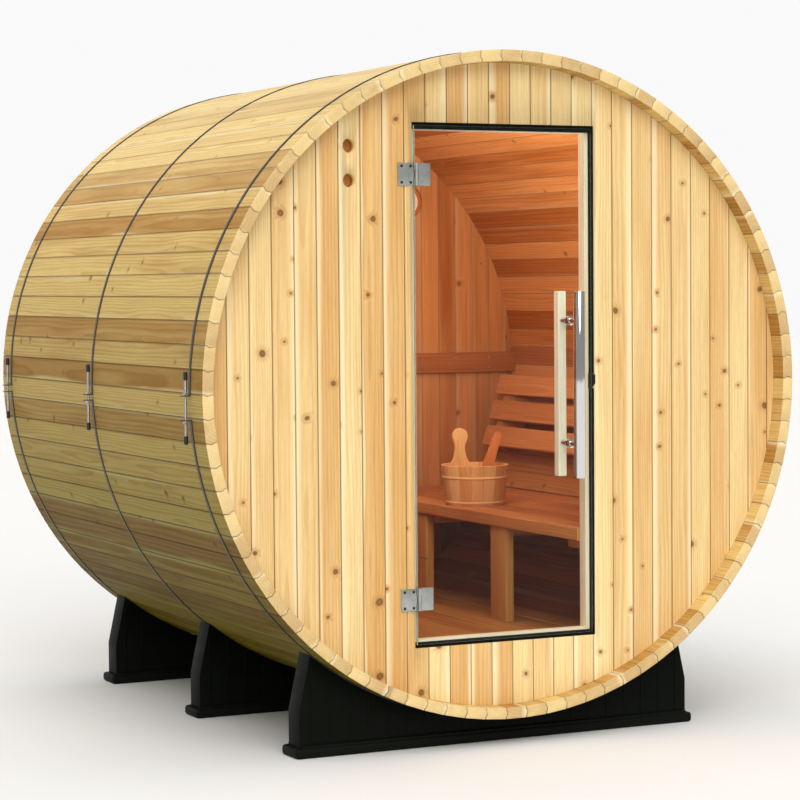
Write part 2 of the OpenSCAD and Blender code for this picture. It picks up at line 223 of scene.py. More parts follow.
class Tree:
    """Adds nodes to a node tree."""

    def __init__(self, node_tree):
        self.node_tree = node_tree

    def node(self, kind, settings=None, values=None, out=0):
        """Adds a node: settings first, then values or links by input, and returns an output."""
        made = self.node_tree.nodes.new(kind)
        for name, value in (settings or {}).items():
            setattr(made, name, value)
        for name, value in (values or {}).items():
            self.put(made.inputs[name], value)
        return Socket(self, made.outputs[out])

    def put(self, socket, value):
        """Sets one input, links it, or links several to it in a list's order."""
        if isinstance(value, list):
            for each in value:
                self.put(socket, each)
        elif isinstance(value, Socket):
            self.node_tree.links.new(value.out, socket)
        elif hasattr(value, "__len__") and not isinstance(value, str):
            wide = len(socket.default_value)
            socket.default_value = tuple(value) + (1.0,) * (wide - len(value))
        else:
            socket.default_value = value

    def vector(self, x, y, z):
        return self.node("ShaderNodeCombineXYZ", {}, {0: x, 1: y, 2: z})

    def place(self):
        """Where a point lies on its object."""
        return self.node("ShaderNodeTexCoord", out=3).xyz()

    def noise(self, x, y, z, detail=2.0, rough=0.5):
        """Smooth noise about 0."""
        values = {"Vector": self.vector(x, y, z), "Scale": 1.0, "Detail": detail,
                  "Roughness": rough}
        return self.node("ShaderNodeTexNoise", {}, values) - 0.5

    def cloud(self, along_x, along_y, along_z, detail=2.0, rough=0.5):
        """Noise over the object, with a scale for each axis."""
        x, y, z = self.place()
        return self.noise(x * along_x, y * along_y, z * along_z, detail, rough)

    def mix(self, factor, low, high, blend="MIX"):
        """Colour between two colours."""
        settings = {"data_type": "RGBA", "blend_type": blend, "clamp_factor": True}
        return self.node("ShaderNodeMix", settings, {0: factor, 6: low, 7: high}, out=2)


def material(name, shade, shown, rough, metal=0.0, specular=0.5):
    """The named material: shade(tree) gives what varies over the surface, by its input."""
    if name in FINISHES:
        return FINISHES[name]
    made = FINISHES[name] = bpy.data.materials.new(name)
    made.use_nodes = True
    made.diffuse_color = (*shown, 1.0)
    tree = Tree(made.node_tree)
    bsdf = made.node_tree.nodes["Principled BSDF"]
    even = {"Base Color": tuple(shown), "Roughness": rough, "Metallic": metal,
            "Specular IOR Level": specular}
    for text, value in {**even, **shade(tree)}.items():
        if text == "Bump":
            height, strength, distance = value
            text, value = "Normal", tree.node("ShaderNodeBump", {}, {
                "Strength": strength, "Distance": distance, "Height": height})
        tree.put(bsdf.inputs[text], value)
    return made


def surface(shown, rough, metal=0.0, specular=0.5):
    """Turns a function that shades into one that gives its material, named as it is."""
    def wrap(shade):
        def give():
            even = getattr(colours(), shown) if isinstance(shown, str) else shown
            return material(shade.__name__, shade, even, rough, metal, specular)
        return give
    return wrap


# ---------------------------------------------------------------- woods


def wood(name, pale, deep, knots=0.2, knot_r=0.007, ring=0.5, sap=0.0, half=0.0,
         inside=None, spread=1.0, rough=0.55, streak=1.0, shaded=0.0, gloss=0.2):
    """Sawn wood that follows each board's own grain.

    knots is the share of places that hold one, ring the strength of the year rings, sap
    how far the pale edges reach, half the board's half width where a joint's shade is
    wanted, inside the two colours of the same boards within the cabin, darkened towards
    the cabin's floor by painted shade, and shaded how much painted shade darkens the
    outer underside of the barrel; where shaded is given, the outer top is also paled,
    partly as sun bleaching and partly as a painted sheen of the sky.
    """
    c = colours()
    cells = 9.5             # places for a knot in a metre
    knot_zone = 0.041       # how far from a board's middle a knot may lie
    bead_depth = 0.014      # how deep the outer colour reaches into the joints
    sawn_end = 0.0008
    white = (1.0, 1.0, 1.0)

    def shade(tree):
        def attribute(text):
            return tree.node("ShaderNodeAttribute", {"attribute_name": text}, out=1).xyz()

        x, y, z = attribute("grain_at")
        one, two, three = attribute("board")
        sx, sy, sz = x + one * 31.0, y + two * 17.0, z + three * 23.0

        def figure(along, across, detail=2.0, rough=0.5):
            return tree.noise(sx * along, sy * across, sz * across, detail, rough)

        wander = figure(1.8, 9.0)
        bands = figure(2.2, 45.0, 2.0, 0.6)
        ripple = figure(9.0, 40.0)
        streaks = figure(5.0, 260.0, 3.0, 0.65)
        fibre = figure(40.0, 1300.0, 1.0)

        # knots: one place in a cell, present in some of the cells
        warp = tree.vector(sx * cells + ripple * 0.09, sy * cells + ripple * 0.12, 0.0)
        kind, values = {"voronoi_dimensions": "2D"}, {"Vector": warp, "Scale": 1.0}
        near = tree.node("ShaderNodeTexVoronoi", kind, values) / cells
        pick, wide, dark = tree.node("ShaderNodeTexVoronoi", kind, values, out=1).xyz()
        present = (pick < knots) * (abs(y) < knot_zone)
        radius = wide * wide * wide * knot_r + 0.0026
        reach = near / radius
        core = present * (1.0 - reach.rise(0.7, 1.15))
        rim = present * reach.rise(0.35, 0.8) * (1.0 - reach.rise(0.95, 1.5))
        halo = present * (1.0 - (near / (radius * 2.4 + 0.010)).rise(0.0, 1.0))

        # year rings round a heart that lies outside the board, pushed aside by knots
        across = y - (two - 0.5) * 0.10
        through = z + three * 0.07 + 0.012
        rings = (across * across + through * through).root()
        rings = rings + wander * 0.020 + ripple * 0.0012 + halo * 0.012
        phase = (rings / (one * 0.0045 + 0.0050)).fraction()
        late = phase.rise(0.30, 0.86) * (1.0 - phase.rise(0.9, 1.0))

        tone = ((one - 0.5) * spread + wander * 1.1 + bands * 0.9 * streak
                + streaks * 0.55 * streak + 0.42)
        base = tree.mix(tone.rise(-0.1, 1.1), pale, deep)
        if inside:
            px, py, pz = tree.place()
            lift = pz - AXIS_Z
            out = (px * px + lift * lift).root()
            within = ((out < BARREL_R - sizes().stave_thick + 0.0012)
                      * (abs(py) < WALL_IN + 0.0012))
            # painted shade: inside the cabin the boards darken towards the bottom, where less
            # light reaches
            cabin_shade = tree.mix(pz.rise(0.2, 1.0), (0.72, 0.60, 0.42), white)
            cabin = tree.mix(1.0, tree.mix(tone.rise(0.0, 1.0), *inside), cabin_shade, "MULTIPLY")
            base = tree.mix(within, base, cabin)
        base = tree.mix(1.0, base, tree.mix(late * ring, white, (0.66, 0.50, 0.34)), "MULTIPLY")
        grainy = tree.mix((streaks + fibre * 0.5 + 0.5).rise(0.2, 0.8), (0.84, 0.80, 0.74),
                          (1.06, 1.06, 1.06))
        base = tree.mix(1.0, base, grainy, "MULTIPLY")
        if sap:
            side = (two > 0.5) * 2.0 - 1.0
            edge = y * side + wander * 0.030 + streaks * 0.004 - (0.036 - sap * three)
            soft = three * 0.010 + 0.002
            cream = ((edge + soft) / soft).rise(0.0, 1.6) * (1.0 - halo)
            if inside:
                cream = cream * (1.0 - within * 0.85)
            base = tree.mix(cream * 0.62, base, c.sapwood)
        base = tree.mix(halo * 0.55, base, (0.46, 0.19, 0.05))
        base = tree.mix(core * 0.85, base, tree.mix(dark, c.knot, (0.27, 0.12, 0.035)))
        base = tree.mix(rim * 0.55, base, (0.090, 0.045, 0.015))
        if half:
            joint = abs(y).rise(half - 0.0034, half - 0.0006)
            base = tree.mix(joint * 0.55, base, (0.20, 0.095, 0.030))
        if shaded:
            level = pz / AXIS_Z
            outside = (out > BARREL_R - bead_depth) * (abs(py) < RIM_Y - sawn_end)
            # painted shade: the outer faces darken towards the bottom of the barrel, tinted olive
            # as a painted reflection of green ground
            low = (1.0 - level.rise(0.1, 1.9)) * shaded * outside
            base = tree.mix(low, base, (0.22, 0.25, 0.03), "MULTIPLY")
            # paler towards the top of the barrel: partly sun bleaching, partly a painted sheen of
            # the sky
            base = tree.mix(level.rise(1.35, 1.95) * 0.25 * outside, base, (0.80, 0.71, 0.45))
            base = tree.mix((abs(py) > RIM_Y - sawn_end) * 0.35, base, (0.86, 0.72, 0.43))
        height = fibre * 0.25 + late * 0.35 + streaks * 0.8 + core * 0.5
        return {"Base Color": base,
                "Roughness": late * 0.08 + streaks * 0.10 - core * 0.12 + rough,
                "Bump": (height, 0.35, 0.0007)}

    return material(name, shade, pale, rough, specular=gloss)


def timber(name):
    """One of the sauna's woods."""
    c = colours()
    cabin = (c.cabin_pale, c.cabin_deep)
    stave_half = math.pi * BARREL_R / sizes().stave_count
    kinds = {
        "stave_wood": (c.stave_pale, c.stave_deep, dict(
            knots=0.24, knot_r=0.005, ring=0.42, sap=0.012, half=stave_half, inside=cabin,
            spread=1.1, shaded=1.0, gloss=0.09)),
        "wall_wood": (c.wall_pale, c.wall_deep, dict(
            knots=0.34, knot_r=0.006, ring=0.30, sap=0.020, half=sizes().wall_pitch / 2,
            inside=cabin, spread=0.85)),
        "cabin_wood": (*cabin, dict(knots=0.16, ring=0.42)),
        "floor_wood": ((0.56, 0.26, 0.065), (0.36, 0.125, 0.024), dict(knots=0.12, ring=0.5)),
        "leg_wood": ((0.64, 0.34, 0.10), (0.52, 0.22, 0.055), dict(knots=0.12, ring=0.4)),
        "frame_wood": (c.frame_pale, (0.98, 0.88, 0.64), dict(knots=0.0, ring=0.15, spread=0.5)),
        "pale_wood": ((1.0, 0.96, 0.80), c.frame_pale, dict(
            knots=0.0, ring=0.12, spread=0.3, rough=0.42, streak=0.5)),
        "pail_wood": (c.pail_pale, (0.62, 0.24, 0.07), dict(knots=0.03, ring=0.25, spread=1.2)),
        "hoop_wood": ((0.86, 0.52, 0.22), c.pail_pale, dict(knots=0.0, ring=0.15, spread=0.3)),
        "ladle_wood": ((0.62, 0.17, 0.035), c.ladle_deep, dict(knots=0.0, ring=0.3, rough=0.4)),
    }
    pale, deep, look = kinds[name]
    return wood(name, pale, deep, **look)


# ---------------------------------------------------------------- other finishes


@surface("plastic", 0.55, specular=0.06)
def moulded_plastic(tree):
    dust = tree.cloud(9.0, 9.0, 22.0, 4.0, 0.6)
    low = 1.0 - tree.place()[2].rise(0.0, 0.09)
    tone = tree.mix(low * 0.35 + dust * 0.2, colours().plastic, (0.010, 0.011, 0.009))
    return {"Base Color": tone, "Roughness": dust * 0.25 + 0.52,
            "Bump": (tree.cloud(900.0, 900.0, 900.0), 0.25, 0.0003)}


@surface((0.006, 0.007, 0.005), 0.65, specular=0.15)
def black_rubber(tree):
    grime = tree.cloud(60.0, 60.0, 14.0, 3.0)
    tone = tree.mix(grime + 0.5, (0.003, 0.004, 0.003), (0.009, 0.010, 0.008))
    return {"Base Color": tone, "Roughness": grime * 0.2 + 0.65}


@surface((0.010, 0.011, 0.010), 0.36)
def black_plastic(tree):
    fine = tree.cloud(1500.0, 1500.0, 1500.0)
    return {"Roughness": fine * 0.15 + 0.36, "Bump": (fine, 0.15, 0.0002)}


@surface("hoop", 0.42, 0.6)
def painted_steel(tree):
    wear = tree.cloud(22.0, 160.0, 22.0, 4.0, 0.65)
    fine = tree.cloud(700.0, 700.0, 700.0)
    bare = (wear + fine * 0.25).rise(0.10, 0.30)
    return {"Base Color": tree.mix(bare * 0.6, colours().hoop, (0.24, 0.25, 0.24)),
            "Metallic": bare * 0.4 + 0.45, "Roughness": fine * 0.15 + 0.42 - bare * 0.08,
            "Bump": (fine, 0.12, 0.0002)}


@surface((0.45, 0.47, 0.45), 0.34, 1.0)
def satin_steel(tree):
    brush = tree.cloud(60.0, 60.0, 2600.0, 3.0)
    smear = tree.cloud(26.0, 26.0, 26.0, 3.0)
    tone = tree.mix((smear + 0.5).rise(0.2, 0.8), (0.36, 0.385, 0.355), (0.54, 0.56, 0.53))
    return {"Base Color": tone, "Roughness": brush * 0.16 + smear * 0.10 + 0.34,
            "Bump": (brush, 0.10, 0.0002)}


@surface((0.55, 0.55, 0.54), 0.3, 1.0)
def bright_zinc(tree):
    grain = tree.cloud(400.0, 400.0, 400.0, 3.0)
    tone = tree.mix((grain + 0.5).rise(0.3, 0.7), (0.42, 0.43, 0.42), (0.62, 0.62, 0.60))
    return {"Base Color": tone, "Roughness": grain * 0.2 + 0.30}


@surface((0.72, 0.73, 0.73), 0.08, 1.0)
def polished_steel(tree):
    haze = tree.cloud(14.0, 14.0, 9.0, 3.0)
    lines = tree.cloud(40.0, 40.0, 3000.0)
    return {"Base Color": tree.mix(haze + 0.5, (0.66, 0.67, 0.67), (0.76, 0.77, 0.77)),
            "Roughness": haze * 0.05 + lines * 0.03 + 0.075}


@surface((0.07, 0.09, 0.07), 0.25)
def glass_edge(tree):
    frost = tree.cloud(90.0, 500.0, 60.0)
    tone = tree.mix(frost + 0.5, (0.010, 0.016, 0.010), (0.040, 0.052, 0.038))
    lit = tree.place()[0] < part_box("door_glass")[0].x + 0.0004
    return {"Base Color": tree.mix(lit, tone, (0.62, 0.64, 0.52)),
            "Roughness": frost * 0.2 + 0.25}


@surface((0.75, 0.70, 0.56), 0.4)
def dial_face(tree):
    paper = tree.cloud(300.0, 300.0, 300.0, 3.0)
    return {"Base Color": tree.mix(paper + 0.5, (0.70, 0.64, 0.50), (0.80, 0.74, 0.60)),
            "Roughness": paper * 0.1 + 0.4}


@surface((0.77, 0.77, 0.77), 0.8, specular=0.1)
def pale_floor(tree):
    patch = tree.cloud(0.7, 0.7, 0.0, 3.0)
    return {"Base Color": tree.mix(patch + 0.5, (0.75, 0.75, 0.75), (0.78, 0.78, 0.78))}


def clear_glass():
    """Thin clear glass: light passes straight, with a gloss that grows at the edges."""
    made = material("clear_glass", lambda tree: {}, (0.93, 0.97, 0.95), 0.02, 1.0)
    tree, nodes = Tree(made.node_tree), made.node_tree.nodes
    clear = tree.node("ShaderNodeBsdfTransparent", {}, {"Color": (0.965, 0.975, 0.965)})
    gloss = tree.node("ShaderNodeFresnel", {}, {"IOR": 1.45})
    share = gloss * (tree.cloud(3.0, 3.0, 2.0, 3.0) * 0.08 + 0.20)
    mixed = tree.node("ShaderNodeMixShader", {}, {
        0: share, 1: clear, 2: Socket(tree, nodes["Principled BSDF"].outputs[0])})
    tree.put(nodes["Material Output"].inputs["Surface"], mixed)
    made.diffuse_color = (0.85, 0.92, 0.9, 0.2)
    return made


# ---------------------------------------------------------------- solids


def move(x, y, z):
    """Matrix that shifts."""
    return Matrix.Translation((x, y, z))


def turned(degrees, axis):
    """Matrix that turns about an axis through the origin."""
    return Matrix.Rotation(math.radians(degrees), 4, axis)


def facing_front(x, y, z):
    """Matrix that stands a turned part on its side, with its top towards the front."""
    return move(x, y, z) @ turned(90, "X")


def around(count):
    """Each number below count with the next one, and the last with the first."""
    return [(i, (i + 1) % count) for i in range(count)]


def box_part(low, high, bevel=0.001, steps=2):
    """Block between two corners with its edges rounded."""
    part = bmesh.new()
    bmesh.ops.create_cube(part, size=1.0)
    low, high = Vector(low), Vector(high)
    size = high - low
    for vert in part.verts:
        vert.co = Vector([low[i] + (vert.co[i] + 0.5) * size[i] for i in range(3)])
    return rounded(part, bevel, steps)


def rounded(part, bevel, steps=2, angle=35.0):
    """Rounds the edges that turn by more than an angle in degrees."""
    part.normal_update()
    sharp = [e for e in part.edges if len(e.link_faces) == 2
             and e.calc_face_angle(0.0) > math.radians(angle)]
    if bevel and sharp:
        bmesh.ops.bevel(part, geom=sharp, offset=bevel, segments=steps, profile=0.6,
                        affect="EDGES", clamp_overlap=True)
    return part


def lofted_part(outlines):
    """Solid through outlines with the same number of points."""
    part = bmesh.new()
    rings = [[part.verts.new(point) for point in outline] for outline in outlines]
    for low, high in zip(rings, rings[1:]):
        for i, j in around(len(low)):
            part.faces.new((low[i], low[j], high[j], high[i]))
    part.faces.new(rings[0])
    part.faces.new(rings[-1])
    bmesh.ops.recalc_face_normals(part, faces=part.faces)
    return part


def outline_part(points, low, high, along="y", bevel=0.001, steps=2):
    """Solid from an outline, pushed from low to high along an axis."""
    place = {
        "x": lambda a, b, t: (t, a, b),
        "y": lambda a, b, t: (a, t, b),
        "z": lambda a, b, t: (a, b, t),
    }[along]
    part = bmesh.new()
    ends = [[part.verts.new(place(a, b, t)) for a, b in points] for t in (low, high)]
    part.faces.new(ends[0])
    part.faces.new(list(reversed(ends[1])))
    for i, j in around(len(points)):
        part.faces.new((ends[0][i], ends[1][i], ends[1][j], ends[0][j]))
    bmesh.ops.recalc_face_normals(part, faces=part.faces)
    return rounded(part, bevel, steps)


def turned_part(profile, steps=32, matrix=None):
    """Solid of revolution about Z from (radius, height) points, closed at its ends."""
    part = bmesh.new()
    rings = []
    for radius, height in profile:
        if radius < 1e-7:
            rings.append([part.verts.new((0.0, 0.0, height))])
        else:
            rings.append([part.verts.new((radius * math.cos(a), radius * math.sin(a), height))
                          for a in (2 * math.pi * i / steps for i in range(steps))])
    for low, high in zip(rings, rings[1:]):
        for i, j in around(steps):
            corners = [low[i % len(low)], low[j % len(low)],
                       high[j % len(high)], high[i % len(high)]]
            unique = list(dict.fromkeys(corners))
            if len(unique) > 2:
                part.faces.new(unique)
    if profile[0] == profile[-1]:
        bmesh.ops.remove_doubles(part, verts=part.verts, dist=1e-7)
    bmesh.ops.recalc_face_normals(part, faces=part.faces)
    if matrix:
        part.transform(matrix)
    return part


def rod(radius, low, high, edge=0.0):
    """Profile of a rod, with a chamfer at both ends where edge is given."""
    if not edge:
        return [(0.0, low), (radius, low), (radius, high), (0.0, high)]
    return [(0.0, low), (radius - edge, low), (radius, low + edge),
            (radius, high - edge), (radius - edge, high), (0.0, high)]


def arc(radius, start, stop, steps, centre=(0.0, AXIS_Z)):
    """Points on an arc, angles in degrees; its centre is the barrel's axis if none is given."""
    return [(centre[0] + radius * math.cos(math.radians(a)),
             centre[1] + radius * math.sin(math.radians(a)))
            for a in (start + (stop - start) * i / steps for i in range(steps + 1))]


def long_board(width, thick, run, chamfer, along="y"):
    """One board about the origin with its long edges chamfered."""
    a, b, c = width / 2, thick / 2, chamfer
    points = [(-a + c, -b), (a - c, -b), (a, -b + c), (a, b - c), (a - c, b), (-a + c, b),
              (-a, b - c), (-a, -b + c)]
    return outline_part(points, -run / 2, run / 2, along, bevel=0.0)


def screw_part(radius=0.0042):
    """Countersunk screw head with a small socket, facing up."""
    r = radius
    profile = [(0.0, 0.0001), (r * 0.34, 0.0001), (r * 0.42, 0.0006), (r * 0.94, 0.0008),
               (r, 0.0003), (r, -0.0008), (0.0, -0.0008)]
    return turned_part(profile, 12)


def add_object(name, data, matrix=None):
    """New object in the scene."""
    made = bpy.data.objects.new(name, data)
    if matrix:
        made.matrix_world = matrix
    bpy.context.scene.collection.objects.link(made)
    return made


def settle(piece, body, slot, *nodes):
    """Hands a finished piece to the frame."""
    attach(piece, body)
    if nodes:
        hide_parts(*nodes)
    return piece


def finish_node(node, finish):
    """Gives a node that keeps its shape a better material."""
    for held in frame["nodes"][node].material_slots:
        held.material = finish


class Piece:
    """Gathers closed solids with their grain, then becomes one object."""
    ORDER = {"x": (0, 1, 2), "y": (1, 0, 2), "z": (2, 0, 1)}

    def __init__(self, name, *finishes):
        self.name = name
        self.finishes = finishes
        self.random = random.Random(name)
        self.mesh = bmesh.new()
        self.layers(self.mesh)

    def layers(self, mesh):
        """The layers for a point's place in its board, and for the board's own numbers."""
        held = mesh.verts.layers.float_vector
        return [held.get(text) or held.new(text) for text in ("grain_at", "board")]

    def add(self, part, grain="x", finish=0, smooth=False):
        """Adds a solid whose grain runs along an axis."""
        centre = sum((v.co for v in part.verts), Vector()) / max(len(part.verts), 1)
        board = Vector([self.random.random() for _ in range(3)])
        self.layers(part)           # making one layer unseats the other, so they are read after
        at, own = self.layers(part)
        for vert in part.verts:
            away = vert.co - centre
            vert[at] = Vector([away[i] for i in self.ORDER[grain]])
            vert[own] = board
        for face in part.faces:
            face.material_index = finish
            face.smooth = smooth
        held = bpy.data.meshes.new("held")
        part.to_mesh(held)
        part.free()
        self.mesh.from_mesh(held)
        bpy.data.meshes.remove(held)
        self.layers(self.mesh)
        return self

    def object(self):
        data = bpy.data.meshes.new(self.name)
        self.mesh.to_mesh(data)
        self.mesh.free()
        for finish in self.finishes:
            data.materials.append(finish)
        data.set_sharp_from_angle(angle=math.radians(34))
        return add_object(self.name, data)

    def settle(self, body, slot, *nodes):
        return settle(self.object(), body, slot, *nodes)


# ---------------------------------------------------------------- repeats


def geometry_tree(name, **inputs):
    """Turns a function that adds nodes into one that gives its geometry tree, made once."""
    def wrap(fill):
        def give():
            made = bpy.data.node_groups.get(name)
            if made:
                return made
            made = bpy.data.node_groups.new(name, "GeometryNodeTree")
            for text, kind in {"Geometry": "Geometry", **inputs, "Finish": "Material"}.items():
                made.interface.new_socket(text.replace("_", " "), in_out="INPUT",
                                          socket_type="NodeSocket" + kind)
            made.interface.new_socket("Geometry", in_out="OUTPUT",
                                      socket_type="NodeSocketGeometry")
            tree = Tree(made)
            start = made.nodes.new("NodeGroupInput")
            into = {out.name: Socket(tree, out) for out in start.outputs if out.name}
            solid = fill(tree, into)
            solid = tree.node("GeometryNodeRealizeInstances", {}, {"Geometry": solid})
            solid = tree.node("GeometryNodeSetMaterial", {}, {
                "Geometry": solid, "Material": into["Finish"]})
            tree.put(made.nodes.new("NodeGroupOutput").inputs["Geometry"], solid)
            return made
        return give
    return wrap


def run_tree(obj, group, **values):
    """Runs a tree on an object and keeps the result as its plain mesh."""
    held = obj.modifiers.new("repeat", "NODES")
    held.node_group = group
    ids = {item.name: item.identifier for item in group.interface.items_tree
           if item.in_out == "INPUT"}
    for name, value in {**values, "Finish": obj.data.materials[0]}.items():
        held[ids[name.replace("_", " ")]] = value
    obj.update_tag()
    graph = bpy.context.evaluated_depsgraph_get()
    graph.update()
    data = bpy.data.meshes.new_from_object(obj.evaluated_get(graph), preserve_all_data_layers=True,
                                           depsgraph=graph)
    data.name = obj.name
    obj.modifiers.clear()
    obj.data = data
    return obj


def random_vector(tree, number, seed):
    """A random vector for each number."""
    return tree.node("FunctionNodeRandomValue", {"data_type": "FLOAT_VECTOR"},
                     {"ID": number, "Seed": seed})


def store(tree, geometry, name, value, domain):
    """Stores a vector attribute."""
    settings = {"data_type": "FLOAT_VECTOR", "domain": domain}
    return tree.node("GeometryNodeStoreNamedAttribute", settings,
                     {"Geometry": geometry, "Name": name, "Value": value})


@geometry_tree("Repeat Boards", Count="Int", Start="Vector", Step="Vector", Turn="Vector",
               Radius="Float", Axis="Float", Seed="Int")
def repeat_tree(tree, into):
    """Repeats the object's mesh in a row or round an axis, and keeps it in the barrel."""
    index = tree.node("GeometryNodeInputIndex")
    place = tree.node("ShaderNodeVectorMath", {"operation": "MULTIPLY_ADD"},
                      {0: into["Step"], 1: index, 2: into["Start"]})
    turn = tree.node("ShaderNodeVectorMath", {"operation": "SCALE"},
                     {0: into["Turn"], "Scale": index})
    points = tree.node("GeometryNodePoints", {}, {"Count": into["Count"], "Position": place})
    plain = tree.node("GeometryNodeRemoveAttribute", {}, {
        "Geometry": into["Geometry"], "Name": "board"})
    copies = tree.node("GeometryNodeInstanceOnPoints", {}, {
        "Points": points, "Instance": plain, "Rotation": turn})
    copies = store(tree, copies, "board", random_vector(tree, index, into["Seed"]), "INSTANCE")
    solid = tree.node("GeometryNodeRealizeInstances", {}, {"Geometry": copies})
    x, y, z = tree.node("GeometryNodeInputPosition").xyz()
    rise = z - into["Axis"]
    reach = (into["Radius"] * into["Radius"] - rise * rise).most(0.0001).root()
    kept = tree.vector(x.least(reach).most(-reach), y, z)
    return tree.node("GeometryNodeSetPosition", {}, {"Geometry": solid, "Position": kept})


def repeat(obj, count, start=(0, 0, 0), step=(0, 0, 0), turn=(0, 0, 0), radius=100.0, seed=1):
    return run_tree(obj, repeat_tree(), Count=count, Start=start, Step=step, Turn=turn,
                    Radius=radius, Axis=AXIS_Z, Seed=seed)


@geometry_tree("Wall Boards", Count="Int", Pitch="Float", First_Joint="Float", Radius="Float",
               Axis="Float", Middle="Float", Openings="Object", Seed="Int")
def wall_tree(tree, into):
    """Boards in a row, cut to a disc, with openings cut by an object."""
    index = tree.node("GeometryNodeInputIndex")
    start = tree.vector((index + 0.5) * into["Pitch"] + into["First Joint"], 0.0, 0.0)
    points = tree.node("GeometryNodePoints", {}, {"Count": into["Count"], "Position": start})
    copies = tree.node("GeometryNodeInstanceOnPoints", {},
                       {"Points": points, "Instance": into["Geometry"]})
    boards = tree.node("GeometryNodeRealizeInstances", {}, {"Geometry": copies})
    disc = tree.node("GeometryNodeMeshCylinder", {}, {
        "Vertices": 240, "Radius": into["Radius"], "Depth": 0.5})
    disc = tree.node("GeometryNodeTransform", {}, {
        "Geometry": disc, "Rotation": (math.pi / 2, 0.0, 0.0),
        "Translation": tree.vector(0.0, into["Middle"], into["Axis"])})
    solid = tree.node("GeometryNodeMeshBoolean", {"operation": "INTERSECT", "solver": "EXACT"},
                      {"Mesh 2": [boards, disc]})
    cutter = tree.node("GeometryNodeObjectInfo", {}, {"Object": into["Openings"]}, out=4)
    solid = tree.node("GeometryNodeMeshBoolean", {"operation": "DIFFERENCE", "solver": "EXACT"},
                      {"Mesh 1": solid, "Mesh 2": cutter})
    x, y, z = tree.node("GeometryNodeInputPosition").xyz()
    number = ((x - into["First Joint"]) / into["Pitch"]).floor()
    middle = (number + 0.5) * into["Pitch"] + into["First Joint"]
    grain = tree.vector(z - into["Axis"], x - middle, y - into["Middle"])
    solid = store(tree, solid, "grain_at", grain, "POINT")
    return store(tree, solid, "board", random_vector(tree, number, into["Seed"]), "FACE")


@geometry_tree("Thread", Radius="Float", Pitch="Float", Height="Float", Low="Vector")
def thread_tree(tree, into):
    """Screw thread: a ridge that winds up a rod."""
    path = tree.node("GeometryNodeCurveSpiral", {}, {
        "Resolution": 14, "Rotations": into["Height"] / into["Pitch"],
        "Start Radius": into["Radius"], "End Radius": into["Radius"], "Height": into["Height"]})
    ridge = tree.node("GeometryNodeCurvePrimitiveCircle", {}, {
        "Resolution": 3, "Radius": into["Pitch"] * 0.52})
    wound = tree.node("GeometryNodeCurveToMesh", {}, {
        "Curve": path, "Profile Curve": ridge, "Fill Caps": True})
    wound = tree.node("GeometryNodeTransform", {}, {"Geometry": wound, "Translation": into["Low"]})
    return tree.node("GeometryNodeJoinGeometry", {}, {"Geometry": [wound, into["Geometry"]]})


def screws(name, finish, count, start, step, turn=facing_front(0.0, 0.0, 0.0),
           radius=0.0042):
    """A row of screw heads, turned from facing up to the front unless told otherwise."""
    part = screw_part(radius)
    part.transform(turn)
    row = Piece(name, finish).add(part, smooth=True).object()
    return settle(repeat(row, count, start, step), "root", "satin_steel")


# ---------------------------------------------------------------- operators


class Build(bpy.types.Operator):
    """Shared settings of the operators"""
    bl_options = {"REGISTER", "UNDO"}


class SAUNA_OT_camera(Build):
    """Puts the camera at a child's eye height, before the left front of the barrel"""
    bl_idname = "sauna.camera"
    bl_label = "Camera"

    def execute(self, context):
        yaw, pitch, roll = 0.4543550, -0.0462801, -0.0078057
        ahead = Vector((math.sin(yaw) * math.cos(pitch), math.cos(yaw) * math.cos(pitch),
                        math.sin(pitch)))
        right = Vector((math.cos(yaw), -math.sin(yaw), 0.0))
        up = right.cross(ahead)
        side = right * math.cos(roll) + up * math.sin(roll)
        top = up * math.cos(roll) - right * math.sin(roll)
        data = bpy.data.cameras.new("camera")
        data.lens = 113.42
        data.sensor_width = 36.0
        data.clip_end = 200.0
        turn = Matrix((side, top, -ahead)).transposed().to_4x4()
        context.scene.camera = add_object("camera", data, move(-3.3002, -6.9029, 1.2706) @ turn)
        return {"FINISHED"}


class SAUNA_OT_staves(Build):
    """Staves with bead and cove edges, all round the barrel"""
    bl_idname = "sauna.staves"
    bl_label = "Staves"

    def execute(self, context):
        s = sizes()
        half = math.pi / s.stave_count
        inner = BARREL_R - s.stave_thick
        middle = (BARREL_R + inner) / 2
        bead_r, bead = 0.012, 0.0050
        top = BARREL_R * math.cos(half)
        c = s.chamfer

        def edge(radius):
            return radius * math.tan(half) - s.joint / 2

        def bulge(radius):
            away = radius - middle
            return max(math.sqrt(max(bead_r ** 2 - away ** 2, 0.0)) - (bead_r - bead), 0.0)

        steps = 8
        reach = math.sqrt(bead_r ** 2 - (bead_r - bead) ** 2)
        radii = [middle + reach - 2 * reach * i / steps for i in range(steps + 1)]
        right = ([(edge(top) - c, top), (edge(top), top - c)]
                 + [(edge(r) - bulge(r), r) for r in radii] + [(edge(inner), inner)])
        left = ([(-edge(inner), inner)] + [(-edge(r) - bulge(r), r) for r in reversed(radii)]
                + [(-edge(top), top - c), (-edge(top) + c, top)])
        end = 0.0010
        outlines = []
        for y, inset in ((-RIM_Y, end), (-RIM_Y + end, 0.0), (RIM_Y - end, 0.0), (RIM_Y, end)):
            share = 1.0 - inset / (s.stave_thick / 2)
            outlines.append([(t * share, y, middle + (r - middle) * share)
                             for t, r in right + left])
        made = Piece("staves", timber("stave_wood")).add(lofted_part(outlines), "y").object()
        turn = (0.0, 2 * math.pi / s.stave_count, 0.0)
        repeat(made, s.stave_count, start=(0.0, 0.0, AXIS_Z), turn=turn, seed=11)
        settle(made, "root", "stave_wood", *STAVE_NODES)
        return {"FINISHED"}


